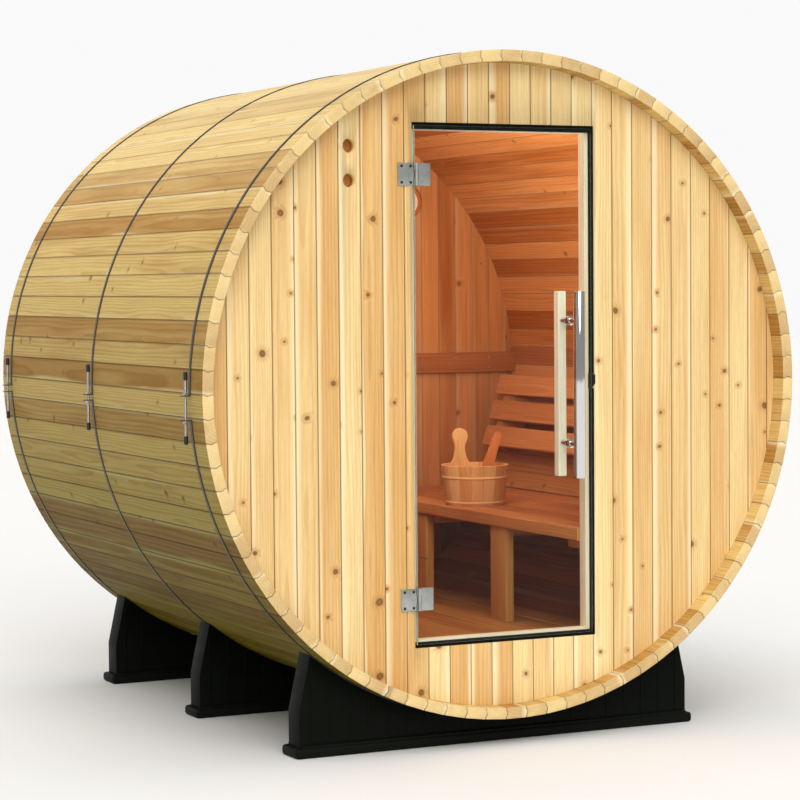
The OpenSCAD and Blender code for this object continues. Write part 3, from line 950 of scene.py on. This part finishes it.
class SAUNA_OT_walls(Build):
    """Upright boards of the front wall, with its doorway and vents, and of the rear wall"""
    bl_idname = "sauna.walls"
    bl_label = "End walls"

    def execute(self, context):
        self.wall("front_wall_boards", -1, FRONT_WALL_NODES)
        self.wall("rear_wall_boards", 1, ["rear_wall"])
        return {"FINISHED"}

    def wall(self, name, side, nodes):
        s = sizes()
        radius = inner_radius()
        middle = side * (WALL_OUT + WALL_IN) / 2
        before = math.ceil((radius + s.wall_joint) / s.wall_pitch)
        first = s.wall_joint - before * s.wall_pitch
        board = long_board(s.wall_pitch - s.joint, WALL_OUT - WALL_IN, 2 * BARREL_R, s.chamfer,
                           "z")
        board.transform(move(0.0, middle, AXIS_Z))
        made = Piece(name, timber("wall_wood")).add(board, "z").object()
        openings = self.openings(side)
        run_tree(made, wall_tree(), Count=math.ceil((radius - first) / s.wall_pitch),
                 Pitch=s.wall_pitch, First_Joint=first, Radius=radius, Axis=AXIS_Z,
                 Middle=middle, Openings=openings, Seed=23 + side)
        bpy.data.objects.remove(openings)
        settle(made, "root", "wall_wood", *nodes)

    def openings(self, side):
        """What is cut from the wall: the doorway and the vents, or a block clear of it."""
        cut = Piece("openings")
        if side > 0:
            return cut.add(box_part((3.0, 3.0, 3.0), (3.1, 3.1, 3.1), 0.0)).object()
        cut.add(box_part((-DOOR_X, -RIM_Y, DOOR_LOW), (DOOR_X, -0.5, DOOR_TOP), 0.0))
        low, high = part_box("vent_cover")
        r = sizes().vent_r
        margin = 0.030 + r
        for z in (low.z + margin, high.z - margin):
            cut.add(turned_part(rod(r, 0.0, 0.2), 40,
                                facing_front((low.x + high.x) / 2, -WALL_IN + 0.05, z)))
        return cut.object()


class SAUNA_OT_door_frame(Build):
    """Jambs, head and sill of the doorway, with the rubber seal and the catch"""
    bl_idname = "sauna.door_frame"
    bl_label = "Door frame"

    def execute(self, context):
        boards = timber("frame_wood")
        room = 0.0002           # between the frame and the wall's cut edge
        low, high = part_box("door_jamb_right")
        stop_y, back_y, inner, outer = low.y, high.y, low.x, high.x
        stop = DOOR_X - room
        plan = [(inner, stop_y), (stop, stop_y), (stop, -WALL_IN), (outer, -WALL_IN),
                (outer, back_y), (inner, back_y)]
        for name, side in (("door_jamb_left", -1), ("door_jamb_right", 1)):
            low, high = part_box(name)
            points = [(side * x, y) for x, y in plan]
            made = Piece(name, boards)
            made.add(outline_part(points, DOOR_LOW, DOOR_TOP, "z", 0.0012), "z")
            for z0, z1 in ((low.z, DOOR_LOW), (DOOR_TOP, high.z)):
                a, b = sorted((side * inner, side * outer))
                made.add(box_part((a, -WALL_IN, z0), (b, back_y, z1)), "z")
            made.settle("root", "frame_wood", name)
        low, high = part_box("door_head")
        top, head = DOOR_TOP - room, [(stop_y, low.z), (back_y, low.z), (back_y, high.z)]
        head += [(-WALL_IN, high.z), (-WALL_IN, top), (stop_y, top)]
        low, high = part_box("door_sill")
        top, sill = DOOR_LOW + room, [(stop_y, high.z)]
        sill += [(stop_y, top), (-WALL_IN, top), (-WALL_IN, low.z), (back_y, low.z),
                 (back_y, high.z)]
        for name, points in (("door_head", head), ("door_sill", sill)):
            low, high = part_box(name)
            made = Piece(name, boards)
            made.add(outline_part(points, low.x, high.x, "x", 0.0012), "x")
            made.settle("root", "frame_wood", name)
        finish_node("door_seal", black_rubber())
        self.catch()
        return {"FINISHED"}

    def catch(self):
        """Catch block with a tapered nose and a bright strike on top."""
        low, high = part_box("door_catch")
        made = Piece("door_catch", black_plastic(), satin_steel())
        third = (high.z - low.z) / 3
        lip_y = high.y - 0.006
        made.add(box_part((low.x, lip_y, low.z), (high.x, high.y, high.z), 0.0008))
        nose_x = high.x - 0.003
        side = [(low.y, high.z - 0.004), (lip_y, high.z), (lip_y, low.z), (low.y, low.z + third)]
        made.add(outline_part(side, nose_x, high.x, "x", 0.0005))
        made.add(box_part((nose_x - 0.0004, low.y + 0.002, high.z - 0.0012),
                          (high.x, lip_y, high.z), 0.0003), finish=1)
        made.settle("root", "black_plastic", "door_catch")


class SAUNA_OT_door_glass(Build):
    """Glass door leaf with polished edges"""
    bl_idname = "sauna.door_glass"
    bl_label = "Door glass"

    def execute(self, context):
        made = Piece("door_glass", clear_glass(), glass_edge())
        piece = made.add(box_part(*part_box("door_glass"), 0.0010, 1)).object()
        for face in piece.data.polygons:
            face.material_index = 0 if abs(face.normal.y) > 0.9 else 1
        settle(piece, "door", "clear_glass", "door_glass")
        return {"FINISHED"}


class SAUNA_OT_door_pulls(Build):
    """Polished tube outside and wooden bar inside, held by bolts through the glass"""
    bl_idname = "sauna.door_pulls"
    bl_label = "Door pulls"

    def execute(self, context):
        low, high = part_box("door_pull_outer")
        bar_low, bar_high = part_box("door_pull_inner")
        glass_low, glass_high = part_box("door_glass")
        x = (low.x + high.x) / 2
        r = (high.x - low.x) / 2
        y = low.y + r
        tall = high.z - low.z
        cap, soft = 0.0025, 0.0025 * 0.3
        made = Piece("door_pull_outer", polished_steel())
        profile = [(0.0, 0.0), (r - cap, 0.0), (r - soft, soft), (r, cap),
                   (r, tall - cap), (r - soft, tall - soft), (r - cap, tall), (0.0, tall)]
        made.add(turned_part(profile, 56, move(x, y, low.z)), smooth=True)
        post_r, plate_r, plate, edge = 0.009, 0.013, 0.004, 0.0008
        out = glass_low.y - y
        back = bar_low.y - glass_high.y
        front = [(0.0, r * 0.4), (post_r, r * 0.4), (post_r, out - plate - 0.001),
                 (plate_r, out - plate), (plate_r, out - edge), (plate_r - edge, out), (0.0, out)]
        rear = [(0.0, 0.0), (plate_r - edge, 0.0), (plate_r, edge), (plate_r, plate),
                (post_r, plate + 0.001), (post_r, back + 0.004), (0.0, back + 0.004)]
        for z in (low.z + 0.0945, high.z - 0.0825):
            for post, post_y in ((front, y), (rear, glass_high.y)):
                made.add(turned_part(post, 32, move(x, post_y, z) @ turned(-90, "X")), smooth=True)
        made.settle("door", "polished_steel", "door_pull_outer")
        made = Piece("door_pull_inner", timber("pale_wood"))
        made.add(box_part(bar_low, bar_high, 0.0035, 4), "z", smooth=True)
        made.settle("door", "pale_wood", "door_pull_inner")
        return {"FINISHED"}


class SAUNA_OT_hinges(Build):
    """Two steel hinges: a screwed plate on the wall and a clamp on the glass"""
    bl_idname = "sauna.hinges"
    bl_label = "Hinges"
    plate = 0.0070      # from the pin's middle to a plate
    thick = 0.004

    def execute(self, context):
        for place in ("upper", "lower"):
            self.wall_leaf("hinge_%s_wall_leaf" % place)
            self.door_leaf("hinge_%s_door_leaf" % place)
        return {"FINISHED"}

    def turned_on_pin(self, made, profile, steps):
        made.add(turned_part(profile, steps, move(HINGE[0], HINGE[1], 0.0)), smooth=True)

    def wall_leaf(self, name):
        low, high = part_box(name)
        z = (low.z + high.z) / 2
        inner = (high.z - low.z) / 6 + 0.0003
        plate_x = HINGE[0] - self.plate
        front = -WALL_OUT - self.thick
        made = Piece(name, satin_steel())
        made.add(box_part((low.x, front, low.z), (plate_x, -WALL_OUT, high.z), 0.0008, 3))
        for z0, z1 in ((low.z, z - inner), (z + inner, high.z)):
            made.add(box_part((plate_x - 0.003, front, z0), (HINGE[0], front + 0.002, z1), 0.0004))
            self.turned_on_pin(made, rod(0.0059, z0, z1, 0.0006), 28)
        self.turned_on_pin(made, rod(0.003, z - inner - 0.002, z + inner + 0.002), 20)
        made.settle("root", "satin_steel", name)
        margin_x, margin_z = 0.0105, 0.0085
        wide = plate_x - low.x - 2 * margin_x
        for row, height in (("low", low.z + margin_z), ("high", high.z - margin_z)):
            screws("%s_screws_%s" % (name, row), painted_steel(), 2,
                   (low.x + margin_x, front, height), (wide, 0.0, 0.0))

    def door_leaf(self, name):
        low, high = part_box(name)
        glass_low, glass_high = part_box("door_glass")
        z = (low.z + high.z) / 2
        inner = (high.z - low.z) / 6 - 0.0003
        plate_x = HINGE[0] + self.plate
        front = glass_low.y - self.thick
        made = Piece(name, satin_steel())
        made.add(box_part((plate_x, front, low.z), (high.x, glass_low.y, high.z), 0.0008, 3))
        made.add(box_part((glass_low.x + 0.006, glass_high.y, low.z), (high.x, high.y, high.z),
                          0.0008, 3))
        made.add(box_part((HINGE[0] + 0.0045, front, z - inner),
                          (plate_x + 0.002, front + 0.002, z + inner), 0.0004))
        bore = 0.00315
        knuckle = rod(0.0059, z - inner, z + inner, 0.0006)[1:-1]
        knuckle = [(bore, z - inner)] + knuckle + [(bore, z + inner), (bore, z - inner)]
        self.turned_on_pin(made, knuckle, 28)
        made.settle("door", "satin_steel", name)


class SAUNA_OT_hoops(Build):
    """Steel bands and their threaded tension bolts"""
    bl_idname = "sauna.hoops"
    bl_label = "Hoops and bolts"

    def execute(self, context):
        for place in HOOPS:
            finish_node("hoop_" + place, painted_steel())
            self.bolt("hoop_bolt_" + place, "hoop_" + place)
        return {"FINISHED"}

    def bolt(self, name, band):
        low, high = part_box(name)
        x, y = (low.x + high.x) / 2, (low.y + high.y) / 2
        rod_r, hidden = 0.0033, 0.006
        made = Piece(name, bright_zinc())
        made.add(turned_part(rod(rod_r, low.z + 0.004, high.z - 0.004), 20, move(x, y, 0.0)),
                 smooth=True)
        core = run_tree(made.object(), thread_tree(), Radius=rod_r, Pitch=sizes().thread_pitch,
                        Height=high.z - low.z - 2 * hidden, Low=(x, y, low.z + hidden))
        settle(core, "root", "satin_steel", name)
        middle = (low.z + high.z) / 2
        half = self.half_gap(band, middle)
        caps = Piece(name + "_caps", black_plastic())
        nuts = Piece(name + "_nuts", bright_zinc())
        cap_r, cap_h, nut_r, nut_h = 0.0058, 0.022, 0.0074, 0.0068
        cap = [(0.0, 0.0), (cap_r - 0.0015, 0.0), (cap_r, 0.002), (cap_r, cap_h - 0.001),
               (cap_r - 0.0008, cap_h), (0.0, cap_h)]
        for side, end in ((-1, move(x, y, low.z)), (1, move(x, y, high.z) @ turned(180, "X"))):
            caps.add(turned_part(cap, 24, end), smooth=True)
            seat = middle + side * half
            z0, z1 = sorted((seat, seat + side * nut_h))
            nuts.add(turned_part(rod(nut_r, z0, z1, 0.0008), 6, move(x, y, 0.0)))
        caps.settle("root", "black_plastic")
        nuts.settle("root", "satin_steel")

    def half_gap(self, band, middle):
        """Half the distance between a band's two lugs, lug thickness included."""
        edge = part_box(band)[0].x + 0.004
        heights = [v.co.z for v in frame["nodes"][band].data.vertices if v.co.x < edge]
        return max(abs(z - middle) for z in heights)


class SAUNA_OT_cradles(Build):
    """Moulded cradles with a saddle, upright ribs and a wide rounded foot"""
    bl_idname = "sauna.cradles"
    bl_label = "Cradles"
    shoulder = 0.125        # height where the sides begin to lean
    foot_out = 0.016        # how far the foot stands out from the body
    foot_h = 0.028

    def execute(self, context):
        for place in HOOPS:
            self.cradle("cradle_" + place)
        return {"FINISHED"}

    def cradle(self, name):
        low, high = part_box(name)
        y = (low.y + high.y) / 2
        half = high.x - self.foot_out
        thick = (high.y - low.y) / 2 - self.foot_out
        saddle = BARREL_R + ROOM
        angle = self.tip_angle(half, saddle)
        curve = arc(saddle, -angle, -180 + angle, 56)
        points = [(-half, 0.002), (half, 0.002), (half, self.shoulder)] + curve
        points += [(-half, self.shoulder)]
        made = Piece(name, moulded_plastic())
        made.add(outline_part(points, y - thick, y + thick, "y", 0.0022, 2))
        made.add(self.foot(low, high))
        for side in (-1, 1):
            made.add(self.rail(half - 0.003, y + side * thick, side))
        made.settle("root", "black_plastic", name)
        self.ribs(name, half, y, thick, saddle)

    def tip_angle(self, half, saddle):
        """Angle below level of the tip, where the leaning side meets the saddle."""
        start = Vector((half, self.shoulder - AXIS_Z))
        way = Vector((-0.034 / 0.156, 1.0))
        a, b, c = way.dot(way), start.dot(way), start.dot(start) - saddle ** 2
        tip = start + way * ((-b - math.sqrt(b * b - a * c)) / a)
        return math.degrees(math.atan2(-tip.y, tip.x))

    def foot(self, low, high):
        """Flat foot with half-round edges."""
        tall = self.foot_h
        part = box_part((low.x, low.y, 0.0), (high.x, high.y, tall), 0.0)
        upright = [e for e in part.edges if abs(e.verts[0].co.z - e.verts[1].co.z) > tall / 2]
        bmesh.ops.bevel(part, geom=upright, offset=0.012, segments=4, profile=0.5,
                        affect="EDGES")
        part.normal_update()
        return rounded(part, tall * 0.48, 5, 60.0)

    def rail(self, half, face, side):
        """Fillet between the body and its foot."""
        y0, y1 = sorted((face - side * 0.001, face + side * 0.010))
        return box_part((-half, y0, self.foot_h * 0.5), (half, y1, self.foot_h + 0.006), 0.003, 3)

    def ribs(self, name, half, y, thick, saddle):
        """Slim upright ribs on both faces, cut off below the saddle and the shoulders."""
        pitch, wide, proud, base, tallest = 0.0575, 0.006, 0.0016, 0.033, 0.24
        count = int((2 * half - 0.05) / pitch) + 1
        start = -(count - 1) * pitch / 2
        made = Piece(name + "_ribs", moulded_plastic())
        for side in (-1, 1):
            face = y + side * thick
            y0, y1 = sorted((face - side * 0.002, face + side * proud))
            for i in range(count):
                x = start + i * pitch
                rim = AXIS_Z - math.sqrt(saddle ** 2 - (abs(x) + wide) ** 2)
                lean = self.shoulder + (half - abs(x) - wide) * 4.5
                high = min(rim - 0.010, lean - 0.012, base + tallest)
                if high > base + 0.012:
                    made.add(box_part((x - wide / 2, y0, base), (x + wide / 2, y1, high),
                                      0.0010, 1))
        made.settle("root", "black_plastic")


class SAUNA_OT_floor(Build):
    """Floor boards on bearers that lie in the bottom of the barrel"""
    bl_idname = "sauna.floor"
    bl_label = "Floor"

    def execute(self, context):
        s = sizes()
        thick, half_floor, end_gap = 0.028, 0.4975, 0.0006
        radius = inner_radius()
        count = 2 * math.ceil(half_floor / s.floor_pitch)
        board = long_board(s.floor_pitch - s.floor_gap, thick, 2 * WALL_IN - end_gap, 0.0020)
        made = Piece("floor_boards", timber("floor_wood")).add(board, "y").object()
        start = (-(count - 1) / 2 * s.floor_pitch, 0.0, FLOOR_Z - thick / 2)
        repeat(made, count, start, (s.floor_pitch, 0.0, 0.0), radius=radius, seed=5)
        settle(made, "root", "interior_wood", "floor_boards")
        level = FLOOR_Z - thick - 0.0002
        half = math.degrees(math.asin((AXIS_Z - level) / radius))
        bow = arc(radius, 180 + half, 360 - half, 40)
        bearers = Piece("floor_bearers", timber("cabin_wood"))
        half_wide, inset = 0.019, 0.2
        for y in (-WALL_IN + inset, 0.0, WALL_IN - inset):
            bearers.add(outline_part(bow, y - half_wide, y + half_wide), "x")
        bearers.settle("root", "interior_wood")
        return {"FINISHED"}


class SAUNA_OT_bench(Build):
    """Bench seat on its legs and bearers, with the screws"""
    bl_idname = "sauna.bench"
    bl_label = "Bench"

    def execute(self, context):
        s = sizes()
        low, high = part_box("bench_seat")
        wide = s.seat_pitch - s.seat_gap
        board = rounded(long_board(wide, high.z - low.z, high.y - low.y, 0.003), 0.0012, 2, 30)
        made = Piece("bench_seat", timber("cabin_wood")).add(board, "y").object()
        count = math.ceil((high.x - low.x) / s.seat_pitch)
        start = (low.x + wide / 2, (low.y + high.y) / 2, (low.z + high.z) / 2)
        repeat(made, count, start, (s.seat_pitch, 0.0, 0.0), radius=inner_radius(), seed=8)
        settle(made, "root", "interior_wood", "bench_seat")
        self.bearers_and_legs(low.x + 0.045, high.z - 0.0004)
        return {"FINISHED"}

    def bearers_and_legs(self, screw_x, screw_z):
        low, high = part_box("bench_bearers")
        legs_low, legs_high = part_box("bench_legs")
        wide, inset, leg_wide = 0.115, 0.080, 0.095
        spots = (low.y, legs_low.y + leg_wide - inset, legs_high.y - leg_wide + inset - wide,
                 high.y - wide)
        made = Piece("bench_bearers", timber("cabin_wood"))
        for y in spots:
            made.add(box_part((low.x, y, low.z), (high.x - 0.012, y + wide, high.z), 0.002), "x")
        made.settle("root", "interior_wood", "bench_bearers")
        for i, y in enumerate(spots):
            for j, dy in enumerate((0.03, wide - 0.03)):
                screws("bench_screws_%d_%d" % (i, j), satin_steel(), 5,
                       (screw_x, y + dy, screw_z), (sizes().seat_pitch, 0.0, 0.0),
                       turned(0, "X"))
        made = Piece("bench_legs", timber("leg_wood"))
        low, high = legs_low, legs_high
        for y in (low.y, high.y - leg_wide):
            made.add(box_part((low.x, y, low.z), (high.x, y + leg_wide, high.z), 0.002), "z")
        made.settle("root", "interior_wood", "bench_legs")


class SAUNA_OT_backrest(Build):
    """Leaning backrest: three slats screwed to two brackets"""
    bl_idname = "sauna.backrest"
    bl_label = "Backrest"

    def execute(self, context):
        low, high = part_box("backrest_slats")
        wide, gap, thick = 0.068, 0.022, 0.020
        lean = Matrix.Rotation(math.radians(17.0), 4, "Y")
        turn = move(0.797, 0.0, 0.957) @ lean
        down = turn.to_3x3() @ Vector((0.0, 0.0, -(wide + gap)))
        board = long_board(wide, thick, high.y - low.y, 0.0025, "y")
        board.transform(turned(90, "Y"))
        made = Piece("backrest_slats", timber("cabin_wood")).add(board, "y").object()
        made.data.transform(lean)
        repeat(made, 3, turn @ Vector((thick / 2, 0.0, -wide / 2)), down, seed=14)
        settle(made, "root", "interior_wood", "backrest_slats")
        self.brackets(turn, 3 * wide + 2 * gap, thick)
        for side, end in ((-1, "front"), (1, "rear")):
            for k, level in ((-1, "low"), (1, "high")):
                spot = turn @ Vector((0.0, side * 0.655 + k * 0.010, -wide / 2 + k * 0.012))
                screws("backrest_screws_%s_%s" % (end, level), bright_zinc(), 3, spot, down,
                       lean @ turned(-90, "Y"), 0.0036)
        return {"FINISHED"}

    def brackets(self, turn, drop, thick):
        low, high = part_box("backrest_brackets")
        radius = inner_radius()
        way = turn.to_3x3() @ Vector((1.0, 0.0, 0.0))

        def shell_angle(start):
            """Angle at which a line from start meets the barrel's inside."""
            x, z = start.x, start.z - AXIS_Z
            b = x * way.x + z * way.z
            t = -b + math.sqrt(b * b - (x * x + z * z - radius ** 2))
            return math.degrees(math.atan2(z + way.z * t, x + way.x * t))

        top = turn @ Vector((thick, 0.0, 0.0))
        foot = turn @ Vector((thick, 0.0, -drop))
        bow = arc(radius, shell_angle(top), shell_angle(foot), 12)
        points = [(top.x, top.z)] + bow + [(foot.x, foot.z)]
        made = Piece("backrest_brackets", timber("cabin_wood"))
        wide = 0.040
        for y in (low.y, high.y - wide):
            made.add(outline_part(points, y, y + wide, "y", 0.0015), "z")
        made.settle("root", "interior_wood", "backrest_brackets")


class SAUNA_OT_wall_fittings(Build):
    """Batten of the rear wall, cover of the vents and the thermometer"""
    bl_idname = "sauna.wall_fittings"
    bl_label = "Wall fittings"

    def execute(self, context):
        self.batten()
        made = Piece("vent_cover", timber("pail_wood"))
        made.add(box_part(*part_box("vent_cover"), 0.004, 3), "z")
        made.settle("root", "interior_wood", "vent_cover")
        self.thermometer()
        return {"FINISHED"}

    def batten(self):
        low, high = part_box("rear_wall_batten")
        radius = inner_radius()
        a0, a1 = [math.degrees(math.asin((z - AXIS_Z) / radius)) for z in (low.z, high.z)]
        points = arc(radius, a0, a1, 4) + arc(radius, 180 - a1, 180 - a0, 4)
        made = Piece("rear_wall_batten", timber("cabin_wood"))
        made.add(outline_part(points, low.y, high.y, "y", 0.0025), "x")
        made.settle("root", "interior_wood", "rear_wall_batten")
        pitch = 2 * sizes().wall_pitch
        margin, sunk = 0.017, 0.0004
        count = int(1.7 / pitch)
        for k, z in enumerate((low.z + margin, high.z - margin)):
            screws("batten_screws_%d" % k, satin_steel(), count,
                   (-(count - 1) / 2 * pitch, low.y + sunk, z), (pitch, 0.0, 0.0))

    def thermometer(self):
        """Turned wooden ring with a dial, generic marks and a needle."""
        low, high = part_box("thermometer")
        x, z = (low.x + high.x) / 2, (low.z + high.z) / 2
        r = (high.x - low.x) / 2
        deep = high.y - low.y
        face = deep * 0.55
        stand = facing_front(x, high.y, z)
        made = Piece("thermometer", timber("ladle_wood"), dial_face(), black_plastic())
        ring = [(0.0, 0.0), (r, 0.0), (r, deep * 0.6), (r * 0.97, deep * 0.85), (r * 0.90, deep),
                (r * 0.84, deep * 0.97), (r * 0.80, deep * 0.8), (r * 0.79, face), (0.0, face)]
        made.add(turned_part(ring, 64, stand), "x", smooth=True)
        made.add(turned_part(rod(r * 0.785, face, face + 0.0008), 64, stand), finish=1)
        for i in range(25):
            tall = 0.003 if i % 3 else 0.0055
            mark = box_part((-0.0005, -0.0002, r * 0.70 - tall), (0.0005, 0.0002, r * 0.70), 0.0)
            mark.transform(move(x, high.y - face - 0.0009, z) @ turned(-120 + 10 * i, "Y"))
            made.add(mark, finish=2)
        hand = outline_part([(-0.0016, -0.008), (0.0016, -0.008), (0.0004, r * 0.60),
                             (-0.0004, r * 0.60)], -0.0004, 0.0004, "y", 0.0)
        hand.transform(move(x, high.y - face - 0.0022, z) @ turned(-40, "Y"))
        made.add(hand, finish=2)
        hub = [(0.0, face), (0.003, face), (0.003, face + 0.003), (0.002, face + 0.0036),
               (0.0, face + 0.0038)]
        made.add(turned_part(hub, 16, stand), finish=2, smooth=True)
        made.settle("root", "interior_wood", "thermometer")


class SAUNA_OT_bucket(Build):
    """Stave bucket with two wooden bands and a raised handle, and the ladle in it"""
    bl_idname = "sauna.bucket"
    bl_label = "Bucket and ladle"
    rim_h = 0.126
    taper = 0.0155      # how much narrower the foot is than the rim
    wall = 0.012

    def execute(self, context):
        low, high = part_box("bucket")
        centre = Vector(((low.x + high.x) / 2, (low.y + high.y) / 2, low.z))
        rim_r = (high.x - low.x) / 2
        foot_r = rim_r - self.taper
        self.staves(centre, foot_r, 16)
        made = Piece("bucket_bands", timber("hoop_wood"))
        for height in (self.rim_h * 0.70, self.rim_h * 0.085):
            r = foot_r + self.taper * height / self.rim_h
            made.add(self.band(centre, r, height, 0.007), "x", smooth=True)
        floor = rod(foot_r - self.wall + 0.003, 0.006, 0.018)
        made.add(turned_part(floor, 48, move(*centre)), "x")
        made.settle("root", "pale_wood")
        self.ear(centre, rim_r, high.z - centre.z)
        self.ladle(centre)
        return {"FINISHED"}

    def staves(self, centre, foot_r, count):
        half = math.pi / count
        steps, gap, lift = 4, 0.00035, 0.0012
        outlines = []
        for height in (0.0, lift, self.rim_h - lift, self.rim_h):
            inset = lift if height in (0.0, self.rim_h) else 0.0
            r = foot_r + self.taper * height / self.rim_h - 0.0001
            reach = half - gap / r
            fan = [-reach + 2 * reach * i / steps for i in range(steps + 1)]
            outline = ([(a, r - inset) for a in fan]
                       + [(a, r - self.wall + inset) for a in reversed(fan)])
            outlines.append([(q * math.cos(a), q * math.sin(a), height) for a, q in outline])
        made = Piece("bucket", timber("pail_wood")).add(lofted_part(outlines), "z").object()
        repeat(made, count, centre, turn=(0.0, 0.0, 2 * half), seed=3)
        settle(made, "root", "pale_wood", "bucket")

    def band(self, centre, r, height, tall):
        out, into = 0.0022, 0.0008
        lean = self.taper / self.rim_h
        low, high = height - tall / 2, height + tall / 2
        profile = [(r - into - lean * tall / 2, low), (r + out * 0.5 - lean * tall / 2, low),
                   (r + out - lean * tall / 4, height - tall * 0.3),
                   (r + out + lean * tall / 4, height + tall * 0.3),
                   (r + out * 0.5 + lean * tall / 2, high), (r - into + lean * tall / 2, high),
                   (r - into - lean * tall / 2, low)]
        return turned_part(profile, 64, move(*centre))

    def ear(self, centre, rim_r, top):
        """Handle stave: a round head on a slim waist that flares into the rim."""
        base, waist, head_r = 0.032, 0.0165, 0.027
        head_z = top - self.rim_h - head_r
        right = [(base, -0.020), (base, 0.0), (base - 0.007, 0.010), (base - 0.0115, 0.022),
                 (waist + 0.001, 0.036), (waist, 0.046), (waist + 0.0015, 0.056),
                 (waist + 0.0055, 0.066)]
        head = arc(head_r, -22, 202, 22, (0.0, head_z))
        points = right + head + [(-a, b) for a, b in reversed(right)]
        part = outline_part(points, -0.005, 0.005, "y", 0.0016, 3)
        part.transform(move(0.0, -(rim_r - 0.006), self.rim_h))
        for vert in part.verts:
            vert.co.y -= math.sqrt(max(rim_r ** 2 - vert.co.x ** 2, 0.0)) - rim_r
        part.transform(move(*centre) @ turned(181, "Z"))
        Piece("bucket_handle", timber("pail_wood")).add(part, "z").settle("root", "pale_wood")

    def ladle(self, centre):
        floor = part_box("ladle")[0].z - centre.z
        handle_l, thick, wide, slim = 0.214, 0.0118, 0.044, 0.025
        turn = move(*centre) @ turned(-26, "Z")
        made = Piece("ladle", timber("ladle_wood"))
        r = 0.0278
        cup = [(0.0, 0.0), (r * 0.86, 0.0), (r, 0.006), (r, 0.033), (r - 0.001, 0.034),
               (r - 0.004, 0.034), (r - 0.005, 0.033), (r - 0.005, 0.009), (r - 0.010, 0.0055),
               (0.0, 0.0055)]
        made.add(turned_part([(a, floor + b) for a, b in cup], 40,
                             turn @ move(-0.022, 0.0, 0.0)), "z", smooth=True)
        tip = arc(slim / 2, 0, 180, 12, (0.0, handle_l - slim / 2))
        points = [(wide / 2 - 0.014, 0.0), (wide / 2, 0.030)] + tip
        points += [(-wide / 2, 0.030), (-wide / 2 + 0.014, 0.0)]
        handle = outline_part(points, -thick / 2, thick / 2, "y", 0.0022, 3)
        handle.transform(turn @ move(0.010, 0.0, floor + 0.004) @ turned(17.7, "Y"))
        made.add(handle, "z")
        made.settle("root", "interior_wood", "ladle")


class SAUNA_OT_stage(Build):
    """Plain pale floor, soft lights and a pale sky"""
    bl_idname = "sauna.stage"
    bl_label = "Stage"

    def execute(self, context):
        scene = context.scene
        data = bpy.data.meshes.new("stage_floor")
        reach = 40.0
        data.from_pydata([(-reach, -reach, 0.0), (reach, -reach, 0.0), (reach, reach, 0.0),
                          (-reach, reach, 0.0)], [], [(0, 1, 2, 3)])
        data.materials.append(pale_floor())
        add_object("stage_floor", data)
        scene.view_settings.view_transform = "Standard"
        scene.world = self.sky()
        self.sun("key_light", (-0.27, -0.75, 0.60), 2.15, 50.0, (1.0, 0.97, 0.92))
        self.sun("top_light", (-0.10, -0.05, 1.0), 1.55, 70.0, (1.0, 0.99, 0.97))
        self.lamp("cabin_light", (-0.15, -0.35, 1.70), (0.30, 0.35, 0.6), 0.5, 3.5)
        self.lamp("cabin_wash", (-0.10, -0.45, 1.20), (0.15, 0.45, 1.85), 0.45, 14.0)
        return {"FINISHED"}

    def sky(self):
        """Pale sky, brightest low behind the barrel."""
        world = bpy.data.worlds.new("studio")
        world.use_nodes = True
        tree = Tree(world.node_tree)
        x, y, z = tree.node("ShaderNodeTexCoord").xyz()
        band = y.rise(-0.1, 0.6) * (1.0 - z.rise(0.25, 0.7))
        sky = world.node_tree.nodes["Background"]
        tree.put(sky.inputs["Color"], (1.0, 1.0, 1.0))
        tree.put(sky.inputs["Strength"], band * 0.62 + 0.33)
        return world

    def sun(self, name, way, strength, spread, tint):
        data = bpy.data.lights.new(name, "SUN")
        data.energy, data.angle, data.color = strength, math.radians(spread), tint
        add_object(name, data, Vector(way).to_track_quat("Z", "Y").to_matrix().to_4x4())

    def lamp(self, name, place, aim, size, power, tint=(1.0, 0.93, 0.84)):
        data = bpy.data.lights.new(name, "AREA")
        data.energy, data.size, data.color = power, size, tint
        turn = (Vector(aim) - Vector(place)).to_track_quat("-Z", "Y").to_matrix().to_4x4()
        add_object(name, data, move(*place) @ turn)


class SAUNA_PT_panel(bpy.types.Panel):
    """Lists the steps that build the sauna"""
    bl_idname = "SAUNA_PT_panel"
    bl_label = "Barrel sauna"
    bl_space_type = "VIEW_3D"
    bl_region_type = "UI"
    bl_category = "Sauna"

    def draw(self, context):
        for step in STEPS:
            self.layout.operator(step.bl_idname)
        for group in (context.scene.sauna_sizes, context.scene.sauna_colours):
            box = self.layout.box()
            for name in group.__annotations__:
                box.prop(group, name)


STEPS = (SAUNA_OT_camera, SAUNA_OT_staves, SAUNA_OT_walls, SAUNA_OT_door_frame,
         SAUNA_OT_door_glass, SAUNA_OT_door_pulls, SAUNA_OT_hinges, SAUNA_OT_hoops,
         SAUNA_OT_cradles, SAUNA_OT_floor, SAUNA_OT_bench, SAUNA_OT_backrest,
         SAUNA_OT_wall_fittings, SAUNA_OT_bucket, SAUNA_OT_stage)
CLASSES = (SaunaSizes, SaunaColours) + STEPS + (SAUNA_PT_panel,)


def register():
    for each in CLASSES:
        bpy.utils.register_class(each)
    bpy.types.Scene.sauna_sizes = PointerProperty(type=SaunaSizes)
    bpy.types.Scene.sauna_colours = PointerProperty(type=SaunaColours)


def unregister():
    del bpy.types.Scene.sauna_colours
    del bpy.types.Scene.sauna_sizes
    for each in reversed(CLASSES):
        bpy.utils.unregister_class(each)


def main():
    register()
    for step in STEPS:
        group, name = step.bl_idname.split(".")
        getattr(getattr(bpy.ops, group), name)()
    bpy.context.view_layer.update()


if __name__ == "__main__":
    main()
